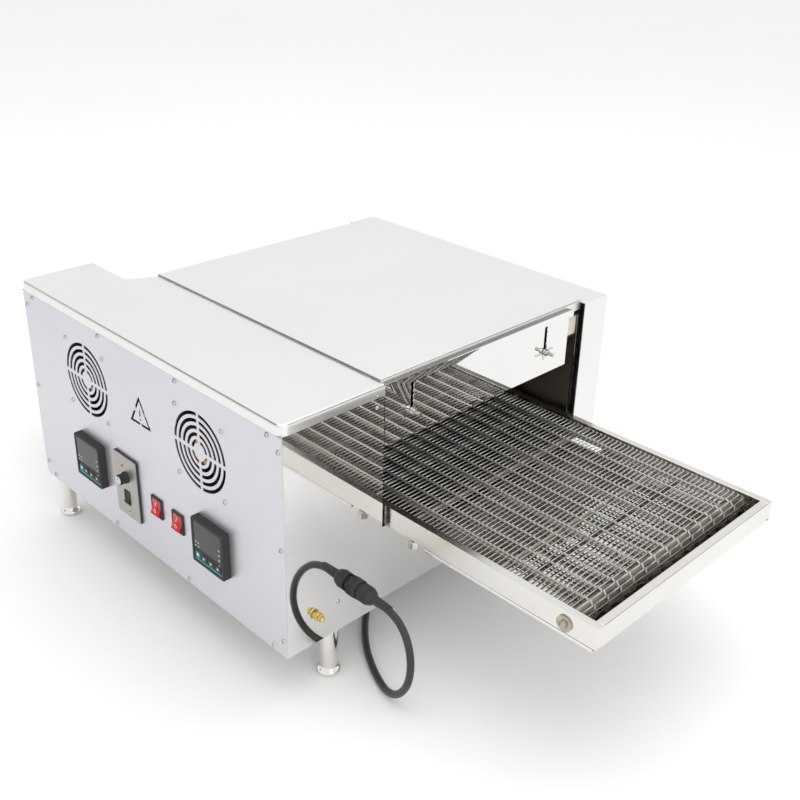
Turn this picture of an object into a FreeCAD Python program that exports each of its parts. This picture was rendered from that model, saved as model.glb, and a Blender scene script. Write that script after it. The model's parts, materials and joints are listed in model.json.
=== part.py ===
"""Conveyor pizza oven: a parametric assembly of separate pieces, in millimetres.

+X runs along the belt to the outlet, the control panel faces -Y, and +Z is up.
The origin is the centre of the footprint on the surface that the oven stands on.
"""
import FreeCAD, Part
import math
import os
import re
import Sketcher

V = FreeCAD.Vector

SIZES = {
    # cabinets
    "leg_high": 80,
    "sheet": 1.2,
    "panel_y": -313.4,
    "panel_thick": 1.5,
    "panel_high": 330,
    "box_deep": 167,
    "box_left": -377,
    "box_right": 265,
    "notch_x": -278,
    "notch_y": 121,
    "notch_run": 22,
    "lid_high": 15,
    "lid_sheet": 1.5,
    "flange": 14,
    "chamber_half": 255,
    "chamber_deep": 421,
    "cover_top": 348,
    "rear_deep": 57,
    "rear_left": -268,
    "rear_high": 344,
    # baking tunnel, heights above the underside of the cabinets
    "tunnel_low": 120,
    "tunnel_high": 255,
    "liner_low": 70,
    "liner_high": 292,
    "low_heater_z": 98,
    "top_heater_z": 272,
    "heater_radius": 5.5,
    "heater_gap": 100,
    # curtain plates at the two ends of the tunnel
    "curtain_low": 250,
    "curtain_high": 91.5,
    "curtain_front": 175,
    "curtain_wide": 383,
    "stud_z": 286.5,
    "stud_radius": 2.5,
    "stud_front": 224,
    "stud_apart": 280,
    "curtain_travel": 38,
    # conveyor
    "belt_y": 62.6,
    "belt_half": 189,
    "belt_top": 157,
    "wire": 0.8,
    "pitch_radius": 14.03,
    "shaft_x": 566.28,
    "rail_half": 201,
    "rail_long": 613,
    "rail_top": 160,
    "rail_high": 31,
    "top_flange": 11,
    "low_flange": 6,
    "tube_radius": 8,
    "journal": 5,
    "running": 0.05,
    "chain_y": -150,
    "motor_x": -330,
    "chain_radius": 16.27,
    "tray_start": 336,
    "tray_end": 608,
    "knob_x": 315,
    "stud_gap": 0.4,
    # front panel fittings, x from the middle, heights above the underside
    "fan_left": -200,
    "fan_right": 90,
    "fan_z": 236,
    "fan_screw": 52.5,
    "sign_x": -54.5,
    "sign_z": 233,
    "meter_left": -204,
    "meter_right": 111,
    "meter_z": 100,
    "meter_side": 72,
    "meter_proud": 12.5,
    "speed_x": -105,
    "speed_z": 95.5,
    "speed_wide": 60,
    "speed_tall": 104,
    "speed_proud": 4.5,
    "knob_z": 112,
    "knob_front": 18.2,
    "run_z": 77,
    "rocker_left": -28,
    "rocker_right": 25,
    "rocker_z": 95,
    # power lead
    "gland_y": 120,
    "gland_z": 54,
    "gland_long": 42,
    "cord_radius": 5.25,
    "coil_radius": 60,
    "plug_x": -101,
    "plug_y": 484,
}

doc = FreeCAD.newDocument("ConveyorPizzaOven")
sheet = doc.addObject("Spreadsheet::Sheet", "Sizes")
for row, (alias, value) in enumerate(SIZES.items(), start=1):
    sheet.set("A%d" % row, alias)
    sheet.set("B%d" % row, str(value))
    sheet.setAlias("B%d" % row, alias)
doc.recompute()

NODES = []
TURN = {
    "x": FreeCAD.Rotation(V(0, 1, 0), 90),
    "y": FreeCAD.Rotation(V(1, 0, 0), -90),
    "z": FreeCAD.Rotation(),
}


# ---------------------------------------------------------------- helpers
def formula(text):
    """Write a sum of size names as an expression on the spreadsheet."""
    names = lambda match: "Sizes." + match.group() if match.group() in SIZES else match.group()
    return re.sub(r"[A-Za-z_]+", names, str(text))


def number(text):
    """The present value of a sum of size names."""
    holder = doc.addObject("App::FeaturePython", "Reader")
    holder.addProperty("App::PropertyFloat", "Value")
    holder.setExpression("Value", formula(text))
    holder.recompute()
    value = holder.Value
    doc.removeObject(holder.Name)
    return value


def bind(piece, name, text):
    piece.setExpression(name, formula(text))


def place(piece, x, y, z, rotation=None):
    if rotation is not None:
        piece.Placement = FreeCAD.Placement(V(), rotation)
    for axis, text in zip("xyz", (x, y, z)):
        bind(piece, "Placement.Base." + axis, text)
    return piece


def box(low, size, label="block"):
    piece = doc.addObject("Part::Box", label)
    for name, text in zip(("Length", "Width", "Height"), size):
        bind(piece, name, text)
    return place(piece, *low)


def rod(axis, start, radius, length, label="rod"):
    """A cylinder that runs from its start point towards plus axis."""
    piece = doc.addObject("Part::Cylinder", label)
    bind(piece, "Radius", radius)
    bind(piece, "Height", length)
    return place(piece, *start, TURN[axis])


def cone(axis, start, radius, far_radius, length):
    piece = doc.addObject("Part::Cone", "cone")
    bind(piece, "Radius1", radius)
    bind(piece, "Radius2", far_radius)
    bind(piece, "Height", length)
    return place(piece, *start, TURN[axis])


def prism(axis, start, sides, circumradius, length, spin=0):
    piece = doc.addObject("Part::Prism", "prism")
    piece.Polygon = sides
    bind(piece, "Circumradius", circumradius)
    bind(piece, "Height", length)
    turn = TURN[axis].multiply(FreeCAD.Rotation(V(0, 0, 1), spin))
    return place(piece, *start, turn)


def group(pieces, label="group"):
    whole = doc.addObject("Part::Compound", label)
    whole.Links = pieces
    return whole


def fuse(pieces, label="joined"):
    whole = doc.addObject("Part::MultiFuse", label)
    whole.Shapes = pieces
    return whole


def cut(base, tools, label="cut"):
    whole = doc.addObject("Part::Cut", label)
    whole.Base = base
    whole.Tool = fuse(tools, "cutter") if len(tools) > 1 else tools[0]
    return whole


def mirror(source, label="mirrored", normal=V(1, 0, 0)):
    """The same piece on the far side of the oven's middle plane."""
    other = doc.addObject("Part::Mirroring", label)
    other.Source = source
    other.Normal = normal
    return other


def node(piece, name):
    """Keep a finished piece under its own name."""
    piece.Label = name
    NODES.append(piece)
    return piece


def body(label="body"):
    return doc.addObject("PartDesign::Body", label)


def outline(owner, role, points, lift="0"):
    """A closed sketch of straight sides whose corners are bound to the sizes."""
    sketch = owner.newObject("Sketcher::SketchObject", "Outline")
    plane = [item for item in owner.Origin.OriginFeatures if item.Role == role][0]
    sketch.AttachmentSupport = [(plane, "")]
    sketch.MapMode = "FlatFace"
    bind(sketch, "AttachmentOffset.Base.z", lift)
    count = len(points)
    ring = [V(math.cos(math.tau * i / count), math.sin(math.tau * i / count), 0) for i in range(count)]
    for i in range(count):
        sketch.addGeometry(Part.LineSegment(ring[i], ring[(i + 1) % count]), False)
    for i in range(count):
        sketch.addConstraint(Sketcher.Constraint("Coincident", i, 2, (i + 1) % count, 1))
    for i, corner in enumerate(points):
        for kind, text in zip(("DistanceX", "DistanceY"), corner):
            place_in = sketch.addConstraint(Sketcher.Constraint(kind, -1, 1, i, 1, 1.0))
            bind(sketch, "Constraints[%d]" % place_in, text)
    return sketch


def pad(owner, sketch, length, midplane=False, reverse=False):
    feature = owner.newObject("PartDesign::Pad", "Pad")
    feature.Profile = sketch
    feature.Midplane = midplane
    feature.Reversed = reverse
    bind(feature, "Length", length)
    return feature


def pocket(owner, sketch, length, reverse=False):
    feature = owner.newObject("PartDesign::Pocket", "Pocket")
    feature.Profile = sketch
    feature.Reversed = reverse
    bind(feature, "Length", length)
    return feature


def revolve(owner, sketch, axis_role):
    feature = owner.newObject("PartDesign::Revolution", "Turned")
    feature.Profile = sketch
    axis = [item for item in owner.Origin.OriginFeatures if item.Role == axis_role][0]
    feature.ReferenceAxis = (axis, [""])
    feature.Angle = 360
    return feature


def round_edges(owner, feature, radius, wanted):
    """Round those edges of a feature whose middle point passes a test."""
    doc.recompute()
    names = []
    for i, edge in enumerate(feature.Shape.Edges, start=1):
        middle = edge.valueAt((edge.FirstParameter + edge.LastParameter) / 2)
        if wanted(middle, edge):
            names.append("Edge%d" % i)
    rounding = owner.newObject("PartDesign::Fillet", "Rounding")
    rounding.Base = (feature, names)
    bind(rounding, "Radius", radius)
    return rounding


def stadium(x_one, x_two, y, z, radius, width):
    """A flat bar with round ends, whose ends are centred at two places along X."""
    low = (x_one, y, "%s - (%s)" % (z, radius))
    middle = box(low, ("%s - (%s)" % (x_two, x_one), width, "2*(%s)" % radius))
    ends = [rod("y", (x, y, z), radius, width) for x in (x_one, x_two)]
    return fuse([middle] + ends)


def toothed_wheel(teeth, tip, root, x, y, z, thick, bore):
    """A small sprocket with flat-sided teeth and a plain bore."""
    wheel = body("wheel")
    corners = []
    for k in range(teeth):
        for share, radius in ((-0.30, root), (-0.12, tip), (0.12, tip), (0.30, root)):
            angle = "%.6f deg" % (360 * (k + share) / teeth)
            corners.append(("(%s)*sin(%s)" % (radius, angle), "(%s)*cos(%s)" % (radius, angle)))
    pad(wheel, outline(wheel, "XZ_Plane", corners), thick, reverse=True)
    place(wheel, x, y, z)
    return cut(wheel, [rod("y", (x, "%s - 1" % y, z), bore, "%s + 2" % thick)])


def under(height):
    """A height that is measured from the underside of the cabinets."""
    return "leg_high + %s" % height


def behind(depth):
    """A depth that is measured from the face of the control panel."""
    return "panel_y + %s" % depth


BACK = behind("box_deep")
REAR = behind("box_deep + chamber_deep")
SHAFT_Z = under("belt_top - wire - pitch_radius")


# ---------------------------------------------------------------- control cabinet
def footprint(inset, front, grow="0"):
    """Plan of the control cabinet, with its back narrowed beyond the chamber."""
    return [
        ("box_left + %s - %s" % (inset, grow), front),
        ("box_right - %s + %s" % (inset, grow), front),
        ("box_right - %s + %s" % (inset, grow), "%s - %s" % (BACK, inset)),
        ("notch_x + notch_run + 0.6*%s" % inset, "%s - %s" % (BACK, inset)),
        ("notch_x + 0.6*%s" % inset, "panel_y + notch_y - %s" % inset),
        ("box_left + %s - %s" % (inset, grow), "panel_y + notch_y - %s" % inset),
    ]


def heater_holes(start, length, radius):
    holes = []
    for height in ("low_heater_z", "top_heater_z"):
        for k in (-1.5, -0.5, 0.5, 1.5):
            holes.append(rod("y", ("%s*heater_gap" % k, start, under(height)), radius, length))
    return holes


def control_box():
    tub = body("tub")
    front = "panel_y + panel_thick"
    pad(tub, outline(tub, "XY_Plane", footprint("0", front), "leg_high"), "panel_high")
    inner = outline(tub, "XY_Plane", footprint("sheet", front + " + sheet"), "leg_high + sheet")
    pocket(tub, inner, "panel_high", reverse=True)
    window = box(
        ("box_left + flange", front + " - 1", under("flange")),
        ("box_right - box_left - 2*flange", "sheet + 2", "panel_high - 2*flange"),
    )
    holes = [window]
    holes += heater_holes(BACK + " - 4", "8", "heater_radius + 1")
    holes.append(rod("y", ("motor_x", "panel_y + notch_y - 4", SHAFT_Z), "12", "8"))
    holes.append(rod("x", ("box_right - 4", behind("gland_y"), under("gland_z")), "10.2", "8"))
    holes.append(rod("x", ("box_right - 4", behind(49), under(46)), "3.1", "8"))
    holes += screw_holes(front + " - 1", "4")
    node(cut(tub, holes), "control_box")


def screw_places():
    """Centres of the screws round the edge of the control panel."""
    places = [("box_left + 29 + %d" % (195 * k), z) for k in range(4) for z in (7, 323)]
    return places + [(x, z) for x in ("box_left + 9", "box_right - 7") for z in (25, 167, 307)]


def fan_screw_places():
    places = []
    for fan in ("fan_left", "fan_right"):
        for side in (-1, 1):
            for rise in (-1, 1):
                places.append(("%s + %d*fan_screw" % (fan, side), "fan_z + %d*fan_screw" % rise))
    return places


def screw_holes(start, length):
    return [rod("y", (x, start, under(z)), "2.1", length) for x, z in screw_places()]


def grille(centre):
    """Five broken ring slots that let the fan behind the panel draw air."""
    start = behind("-1")
    rings = []
    for k in range(5):
        middle = 15.5 + 10 * k
        outer = rod("y", (centre, start, under("fan_z")), str(middle + 2.6), "4")
        inner = rod("y", (centre, start, under("fan_z")), str(middle - 2.6), "4")
        rings.append(cut(outer, [inner]))
    upright = box((centre + " - 2.5", behind("-2"), under("fan_z - 65")), ("5", "6", "130"))
    level = box((centre + " - 65", behind("-2"), under("fan_z - 2.8")), ("130", "6", "5.6"))
    return cut(group(rings), [upright, level])


def sign():
    """A plain three-sided sign, cut as slots with bridges, round a bar and a dot."""
    low = ("sign_x", behind("-1"), under("sign_z"))
    frame = cut(prism("y", low, 3, "31", "4", 30), [prism("y", low, 3, "23", "6", 30)])
    bridges = [box(("sign_x - 2", behind("-2"), under("sign_z - 20")), ("4", "8", "8"))]
    for side in (-1, 1):
        bridge = box(("-3", "-2", "-6"), ("6", "8", "12"))
        place(bridge, "sign_x + %s - 2" % (14.5 * side), behind("-2"), under("sign_z + 4"))
        bridges.append(bridge)
    bar = box(("sign_x - 1.5", behind("-1"), under("sign_z - 1")), ("3", "4", "10"))
    dot = rod("y", ("sign_x", behind("-1"), under("sign_z - 6")), "1.8", "4")
    return group([cut(frame, bridges), bar, dot])


def control_panel():
    plate = body("plate")
    corners = [
        ("box_left", "leg_high"),
        ("box_right", "leg_high"),
        ("box_right", under("panel_high")),
        ("box_left", under("panel_high")),
    ]
    face = pad(plate, outline(plate, "XZ_Plane", corners, "-panel_y"), "panel_thick", reverse=True)
    upright = lambda middle, edge: abs(edge.Length - SIZES["panel_thick"]) < 0.01 and middle.x < 0
    round_edges(plate, face, "9", upright)
    start = behind("-1")
    holes = [grille("fan_left"), grille("fan_right"), sign()]
    holes += screw_holes(start, "4")
    holes += [rod("y", (x, start, under(z)), "2.1", "4") for x, z in fan_screw_places()]
    for x in ("meter_left", "meter_right"):
        holes.append(box((x + " - 34", start, under("meter_z - 34")), ("68", "4", "68")))
    for x in ("rocker_left", "rocker_right"):
        holes.append(box((x + " - 12.2", start, under("rocker_z - 14.7")), ("24.4", "4", "29.4")))
    holes.append(box(("speed_x - 27.5", start, under("speed_z - 40")), ("55", "4", "80")))
    node(cut(plate, holes), "control_panel")


def control_box_lid():
    lid = body("lid")
    rim = under("panel_high")
    front = "panel_y - 1.5"
    top = pad(lid, outline(lid, "XY_Plane", footprint("0", front, "1.2"), rim), "lid_high")
    height = number(under("panel_high + lid_high"))
    upright = lambda edge: abs(edge.Length - SIZES["lid_high"]) < 0.01
    corner = lambda middle, edge: upright(edge) and middle.y < number("panel_y")
    rounded = round_edges(lid, top, "12", corner)
    crown = lambda middle, edge: abs(middle.z - height) < 0.01 and middle.y < number(BACK) - 1
    plain = lambda middle: middle.x < -280 and middle.y > number("panel_y + 115")
    round_edges(lid, rounded, "4", lambda middle, edge: crown(middle, edge) and not plain(middle))
    inside = footprint("lid_sheet", front + " + lid_sheet", "1.2")
    (left, near), (right, _) = inside[:2]
    inside[:2] = [(left, near + " + 8"), (left + " + 8", near),
                  (right + " - 8", near), (right, near + " + 8")]
    pocket(lid, outline(lid, "XY_Plane", inside, rim), "lid_high - lid_sheet", reverse=True)
    node(lid, "control_box_lid")


def screw(axis, x, y, z, way):
    """A pan-head screw whose head lies against a face and whose shank goes in."""
    if axis == "y":
        head = rod("y", (x, "%s - 2.2" % y, z), "3.6", "2.2")
        shank = rod("y", (x, y, z), "2", way)
    else:
        head = rod("x", (x, y, z), "3", "1.8")
        shank = rod("x", ("%s - %s" % (x, way), y, z), "1.5", way)
    return fuse([head, shank])


def panel_screws():
    screws = [screw("y", x, "panel_y", under(z), "8") for x, z in screw_places()]
    screws += [screw("y", x, "panel_y", under(z), "7") for x, z in fan_screw_places()]
    node(group(screws), "panel_screws")


def fans():
    frames = []
    for side in ("left", "right"):
        x = "fan_" + side
        start = behind("panel_thick")
        block = box((x + " - 60", start, under("fan_z - 60")), ("120", "25", "120"))
        hollow = rod("y", (x, behind("panel_thick - 1"), under("fan_z")), "57.5", "27")
        shell = cut(block, [hollow])
        arms = [
            box((x + " - 60", behind(20.5), under("fan_z - 4")), ("120", "5", "8")),
            box((x + " - 4", behind(20.5), under("fan_z - 60")), ("8", "5", "120")),
            rod("y", (x, behind(20.5), under("fan_z")), "19", "5.5"),
        ]
        bores = [rod("y", (x, behind(20), under("fan_z")), "2 + running", "5")]
        for u in (-1, 1):
            for w in (-1, 1):
                spot = (x + " + %d*fan_screw" % u, behind(1), under("fan_z + %d*fan_screw" % w))
                bores.append(rod("y", spot, "2.1", "10"))
        frames.append(cut(fuse([shell] + arms), bores))
        hub = rod("y", (x, behind(4), under("fan_z")), "19", "14")
        pin = rod("y", (x, behind(17), under("fan_z")), "2", "7")
        blades = []
        for k in range(7):
            blade = box(("0", "0", "0"), ("37", "2", "15"))
            tilt = FreeCAD.Rotation(V(1, 0, 0), 55)
            swing = FreeCAD.Rotation(V(0, 1, 0), 360 * k / 7)
            blade.Placement = FreeCAD.Placement(V(), swing.multiply(tilt))
            root = swing.multVec(V(18, 5.6, -5.1))
            place(blade, "%s + %.4f" % (x, root.x), behind("11 + %.4f" % root.y),
                  under("fan_z + %.4f" % root.z))
            blades.append(blade)
        node(fuse([hub, pin] + blades), side + "_fan_rotor")
    node(group(frames), "fan_frames")


# ---------------------------------------------------------------- panel fittings
def temperature_controllers():
    meters = []
    for side in ("left", "right"):
        x = "meter_" + side
        half = "meter_side/2"
        bezel = box((x + " - " + half, "panel_y - meter_proud", under("meter_z - " + half)),
                    ("meter_side", "meter_proud", "meter_side"))
        rear = box((x + " - 33.6", "panel_y", under("meter_z - 33.6")), ("67.2", "75", "67.2"))
        screen = box((x + " - 32", "panel_y - meter_proud - 1", under("meter_z - 10")), ("64", "1.8", "41"))
        wells = [screen]
        for k, shift in enumerate((-8, 8, 24), start=1):
            low = (x + " + %.1f" % (shift - 4.8), "panel_y - meter_proud - 1", under("meter_z - 24.8"))
            wells.append(box(low, ("9.6", "6", "7.6")))
            low = (x + " + %.1f" % (shift - 4.5), "panel_y - meter_proud - 0.8", under("meter_z - 24.5"))
            node(box(low, ("9", "3.6", "7")), "%s_key_%d" % (side, k))
        meters.append(cut(fuse([bezel, rear]), wells))
    node(group(meters), "temperature_controllers")


def rocker(x, z, reach, half_wide, pin, tilt):
    """A two-way rocker on trunnions, tipped so that its lower half stands out."""
    piece = body("rocker")
    side = [(-reach, -4.5), (-reach, 3), (0, 5.5), (reach, 3), (reach, -4.5), (0, -2)]
    turned = []
    for up, out in side:
        angle = math.radians(tilt)
        turned.append(("%.4f" % (out * math.cos(angle) + up * math.sin(angle)),
                       "%.4f" % (up * math.cos(angle) - out * math.sin(angle))))
    pad(piece, outline(piece, "YZ_Plane", turned), 2 * half_wide, midplane=True)
    place(piece, x, "panel_y - 0.5", z)
    trunnion = rod("x", ("%s - %.2f" % (x, half_wide + 1.2), "panel_y - 0.5", z), pin, 2 * half_wide + 2.4)
    return fuse([piece, trunnion])


def power_switches():
    bezels = []
    for side in ("left", "right"):
        x = "rocker_" + side
        flange = box((x + " - 13.5", "panel_y - 2.5", under("rocker_z - 16")), ("27", "2.5", "32"))
        case = box((x + " - 12", "panel_y", under("rocker_z - 14.4")), ("24", "22", "28.8"))
        hollow = box((x + " - 10.4", "panel_y - 3", under("rocker_z - 13")), ("20.8", "12", "26"))
        pins = rod("x", (x + " - 11.4", "panel_y - 0.5", under("rocker_z")), "1.5 + running", "22.8")
        bezels.append(cut(fuse([flange, case]), [hollow, pins]))
        node(rocker(x, under("rocker_z"), 12, 10, "1.5", 12), side + "_power_rocker")
    node(group(bezels), "rocker_bezels")


def speed_control():
    plate = box(("speed_x - speed_wide/2", "panel_y - speed_proud", under("speed_z - speed_tall/2")),
                ("speed_wide", "speed_proud", "speed_tall"))
    case = box(("speed_x - 27", "panel_y", under("speed_z - 39")), ("54", "60", "78"))
    socket = rod("y", ("speed_x", "panel_y - speed_proud - 1", under("knob_z")), "3 + running", "14")
    well = box(("speed_x - 5.8", "panel_y - speed_proud - 1", under("run_z - 9")), ("11.6", "11", "18"))
    pins = rod("x", ("speed_x - 6.8", "panel_y - 2.5", under("run_z")), "1.2 + running", "13.6")
    node(cut(fuse([plate, case]), [socket, well, pins]), "speed_control")

    knob = body("knob")
    profile = [("0", "0"), ("9.5", "0"), ("9.5", "3"), ("8", "3.6"), ("7.6", "11.8"),
               ("6.4", "13.4"), ("0", "13.4")]
    revolve(knob, outline(knob, "XZ_Plane", profile), "Z_Axis")
    place(knob, "speed_x", "panel_y - knob_front + 13.4", under("knob_z"), FreeCAD.Rotation(V(1, 0, 0), 90))
    stem = rod("y", ("speed_x", "panel_y - knob_front + 10", under("knob_z")), "3", "14")
    pointer = box(("speed_x - 0.6", "panel_y - knob_front", under("knob_z + 2")), ("1.2", "4", "5.9"))
    node(fuse([knob, stem, pointer]), "speed_knob")

    lever = rocker("speed_x", under("run_z"), 8, 5.5, "1.2", 12)
    for piece in lever.Shapes:
        bind(piece, "Placement.Base.y", "panel_y - 2.5")
    node(lever, "run_rocker")


def control_gear():
    """Relays, terminal strip and capacitor on the floor of the cabinet."""
    pieces = [box(("%d" % x, behind(60), under("sheet")), ("45", "58", "27")) for x in (60, 120)]
    pieces.append(box(("-170", behind(90), under("sheet")), ("110", "24", "30")))
    pieces.append(rod("x", ("-20", behind(100), under("sheet + 18")), "17", "60"))
    node(group(pieces), "control_gear")


# ---------------------------------------------------------------- baking chamber
def chamber():
    half = "chamber_half"
    outer = box(("-" + half, BACK, "leg_high"), ("2*" + half, "chamber_deep", "cover_top - lid_sheet"))
    inner = box(("sheet - " + half, BACK + " + sheet", under("sheet")),
                ("2*(chamber_half - sheet)", "chamber_deep - 2*sheet", "cover_top"))
    tunnel = box(("-" + half + " - 5", BACK + " + sheet", under("tunnel_low")),
                 ("2*chamber_half + 10", "chamber_deep - 2*sheet", "tunnel_high - tunnel_low"))
    vent = box(("-" + half + " - 5", behind("curtain_front + curtain_wide + 2"), under("tunnel_high - 1")),
               ("2*chamber_half + 10", "26", "70"))
    holes = [inner, tunnel, vent]
    holes += heater_holes(BACK + " - 4", "chamber_deep + 8", "heater_radius + 1")
    node(cut(outer, holes), "chamber_shell")

    gap = "sheet + 1.5"
    duct = box(("-" + half + " + 2.5", "%s + %s" % (BACK, gap), under("liner_low")),
               ("2*chamber_half - 5", "chamber_deep - 2*(%s)" % gap, "liner_high - liner_low"))
    bore = box(("-" + half + " - 5", "%s + %s + 1" % (BACK, gap), under("liner_low + 1")),
               ("2*chamber_half + 10", "chamber_deep - 2*(%s) - 2" % gap, "liner_high - liner_low - 2"))
    holes = heater_holes(BACK + " - 4", "chamber_deep + 8", "heater_radius + 0.4")
    node(cut(duct, [bore] + holes), "chamber_liner")

    slab = ("2*chamber_half - 6", "chamber_deep - 6")
    low = box(("3 - " + half, BACK + " + 3", under("sheet + 0.5")), slab + ("liner_low - sheet - 1",))
    top = ("3 - " + half, BACK + " + 3", under("liner_high + 0.5"))
    high = box(top, slab + ("cover_top - liner_high - 3",))
    node(group([low, high]), "chamber_insulation")

    for name, height in (("lower_heaters", "low_heater_z"), ("upper_heaters", "top_heater_z")):
        tubes = []
        for k in (-1.5, -0.5, 0.5, 1.5):
            tubes.append(rod("y", ("%s*heater_gap" % k, BACK + " - 10", under(height)), "heater_radius",
                             "chamber_deep + 20"))
        node(group(tubes), name)


def chamber_cover():
    cover = body("cover")
    edge = "chamber_half + lid_sheet + 0.2"
    corners = [("-(%s)" % edge, BACK + " + 1.5"), (edge, BACK + " + 1.5"),
               (edge, REAR + " - 1.5"), ("-(%s)" % edge, REAR + " - 1.5")]
    top = pad(cover, outline(cover, "XY_Plane", corners, under("cover_top - lid_high")), "lid_high")
    high = number(under("cover_top"))
    round_edges(cover, top, "3", lambda m, e: abs(m.z - high) < 0.01 and abs(m.x) > 200)
    inner = "%s - lid_sheet" % edge
    channel = [("-(%s)" % inner, BACK), (inner, BACK), (inner, REAR), ("-(%s)" % inner, REAR)]
    low = outline(cover, "XY_Plane", channel, under("cover_top - lid_high"))
    pocket(cover, low, "lid_high - lid_sheet", reverse=True)
    node(cover, "chamber_cover")


def rear_housing():
    deep = "rear_deep"
    outer = box(("rear_left", REAR, "leg_high"), ("box_right - rear_left", deep, "rear_high"))
    inner = box(("rear_left + sheet", REAR + " - 1", under("sheet")),
                ("box_right - rear_left - 2*sheet", deep + " - sheet + 1", "rear_high - 2*sheet"))
    slots = []
    for k in range(12):
        slots.append(box(("%d" % (-180 + 30 * k), REAR + " + rear_deep - 5", under(230)), ("6", "10", "70")))
    node(cut(outer, [inner] + slots), "rear_housing")


def thermocouples():
    probes = []
    for x in ("-heater_gap", "heater_gap"):
        probes.append(rod("y", (x, BACK + " + 4", under("tunnel_high + 12")), "2.5", "40"))
    node(group(probes), "thermocouples")


def wavy_slot(y):
    """A slot with scalloped sides, made of round notches along a narrow slit."""
    steps = 5
    slit = box(("chamber_half", behind("%s - stud_radius - stud_gap" % y), under("stud_z")),
               ("8", "2*(stud_radius + stud_gap)", "curtain_travel"))
    notches = []
    for k in range(steps + 1):
        rise = under("stud_z + curtain_travel*%d/%d" % (k, steps))
        notches.append(rod("x", ("chamber_half", behind(y), rise), "stud_radius + 0.9", "8"))
    return [slit] + notches


def curtain():
    low = ("chamber_half + 2.4", behind("curtain_front"), under("curtain_low"))
    plate = box(low, ("sheet", "curtain_wide", "curtain_high"))
    top = under("curtain_low + curtain_high - sheet")
    lip = box((low[0], low[1], top), ("5.6", "curtain_wide", "sheet"))
    slots = wavy_slot("stud_front") + wavy_slot("stud_front + stud_apart")
    return cut(fuse([plate, lip]), slots)


def wing_nut(y, spin):
    """A nut with two upright ears that clamps the curtain plate."""
    x = "chamber_half + 4.2"
    hub = rod("x", (x, behind(y), under("stud_z")), "5.5", "7")
    ears = []
    for side in (-1, 1):
        ear = box(("0", "0", "0"), ("10", "1.8", "9.5"))
        turn = FreeCAD.Rotation(V(1, 0, 0), spin + (0 if side == 1 else 180))
        lean = FreeCAD.Rotation(V(0, 1, 0), 16)
        ear.Placement = FreeCAD.Placement(V(), turn.multiply(lean))
        root = turn.multVec(V(0.8, -0.9, 4.4))
        place(ear, "%s + %.4f" % (x, root.x + 1.2), behind("%s + %.4f" % (y, root.y)),
              under("stud_z + %.4f" % root.z))
        ears.append(ear)
    bore = rod("x", ("chamber_half", behind(y), under("stud_z")), "stud_radius + running", "40")
    return cut(fuse([hub] + ears), [bore])


def curtains():
    outlet = node(curtain(), "outlet_curtain")
    node(mirror(outlet), "inlet_curtain")
    studs = []
    for k, spin in ((0, 62), (1, 118)):
        y = "stud_front + %d*stud_apart" % k
        nut = node(wing_nut(y, spin), "outlet_wing_nut_%d" % (k + 1))
        node(mirror(nut), "inlet_wing_nut_%d" % (k + 1))
        studs.append(rod("x", ("chamber_half", behind(y), under("stud_z")), "stud_radius", "20"))
    node(group(studs + [mirror(stud) for stud in studs]), "curtain_studs")


# ---------------------------------------------------------------- conveyor
def rail(side):
    """A folded channel whose flanges point to the belt."""
    piece = body("rail")
    low = under("rail_top - rail_high")
    top = under("rail_top")
    far = "%d*rail_half" % side
    wall = "%d*(rail_half - sheet)" % side
    section = [
        (far, low), ("%d*(rail_half - low_flange)" % side, low),
        ("%d*(rail_half - low_flange)" % side, low + " + sheet"), (wall, low + " + sheet"),
        (wall, top + " - sheet"), ("%d*(rail_half - top_flange)" % side, top + " - sheet"),
        ("%d*(rail_half - top_flange)" % side, top), (far, top),
    ]
    pad(piece, outline(piece, "YZ_Plane", section), "2*rail_long", midplane=True)
    place(piece, "0", "belt_y", "0")
    start = "belt_y - 210" if side < 0 else "belt_y + 190"
    holes = [rod("y", (x, start, SHAFT_Z), "tube_radius", "20") for x in ("shaft_x", "-shaft_x")]
    if side < 0:
        holes.append(rod("z", ("knob_x", "belt_y - rail_half + 3.6", low + " - 2"), "1.6 + running", "5"))
    return cut(piece, holes)


def end_plate(rails):
    """The folded plate that closes the end of the deck, fitted between the rails."""
    low = under("rail_top - rail_high")
    deep = "2*(rail_half - sheet)"
    start = "belt_y - rail_half + sheet"
    wall = box(("rail_long - sheet", start, low), ("sheet", deep, "rail_high"))
    lip = box(("rail_long - 12", start, under("rail_top - sheet")), ("12", deep, "sheet"))
    notches = list(rails)
    for near in ("belt_y - rail_half", "belt_y + rail_half - 10"):
        notches.append(box(("rail_long - 5", near, low + " - 1"), ("10", "10", "5")))
    return cut(fuse([wall, lip]), notches)


def conveyor_frame():
    rails = [node(rail(-1), "near_rail"), node(rail(1), "far_rail")]
    plate = end_plate(rails)
    node(group([plate, mirror(plate)]), "conveyor_end_plates")
    bars = []
    for k in range(-3, 4):
        start = ("%d" % (150 * k), "belt_y - rail_half + sheet", under("belt_top - 11"))
        bars.append(rod("y", start, "4", "2*(rail_half - sheet)"))
    for k in (-6, -2, 2, 6):
        start = ("-535", "belt_y + %d" % (27 * k), under("belt_top - 4.9"))
        bars.append(rod("x", start, "3", "1070"))
    node(fuse(bars), "belt_supports")


def belt():
    """The woven wire belt as a plain closed band of its own thickness."""
    start = "belt_y - belt_half"
    outer = stadium("-shaft_x", "shaft_x", start, SHAFT_Z, "pitch_radius + wire", "2*belt_half")
    inner = stadium("-shaft_x", "shaft_x", start + " - 1", SHAFT_Z, "pitch_radius - wire", "2*belt_half + 2")
    node(cut(outer, [inner]), "conveyor_belt")


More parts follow.
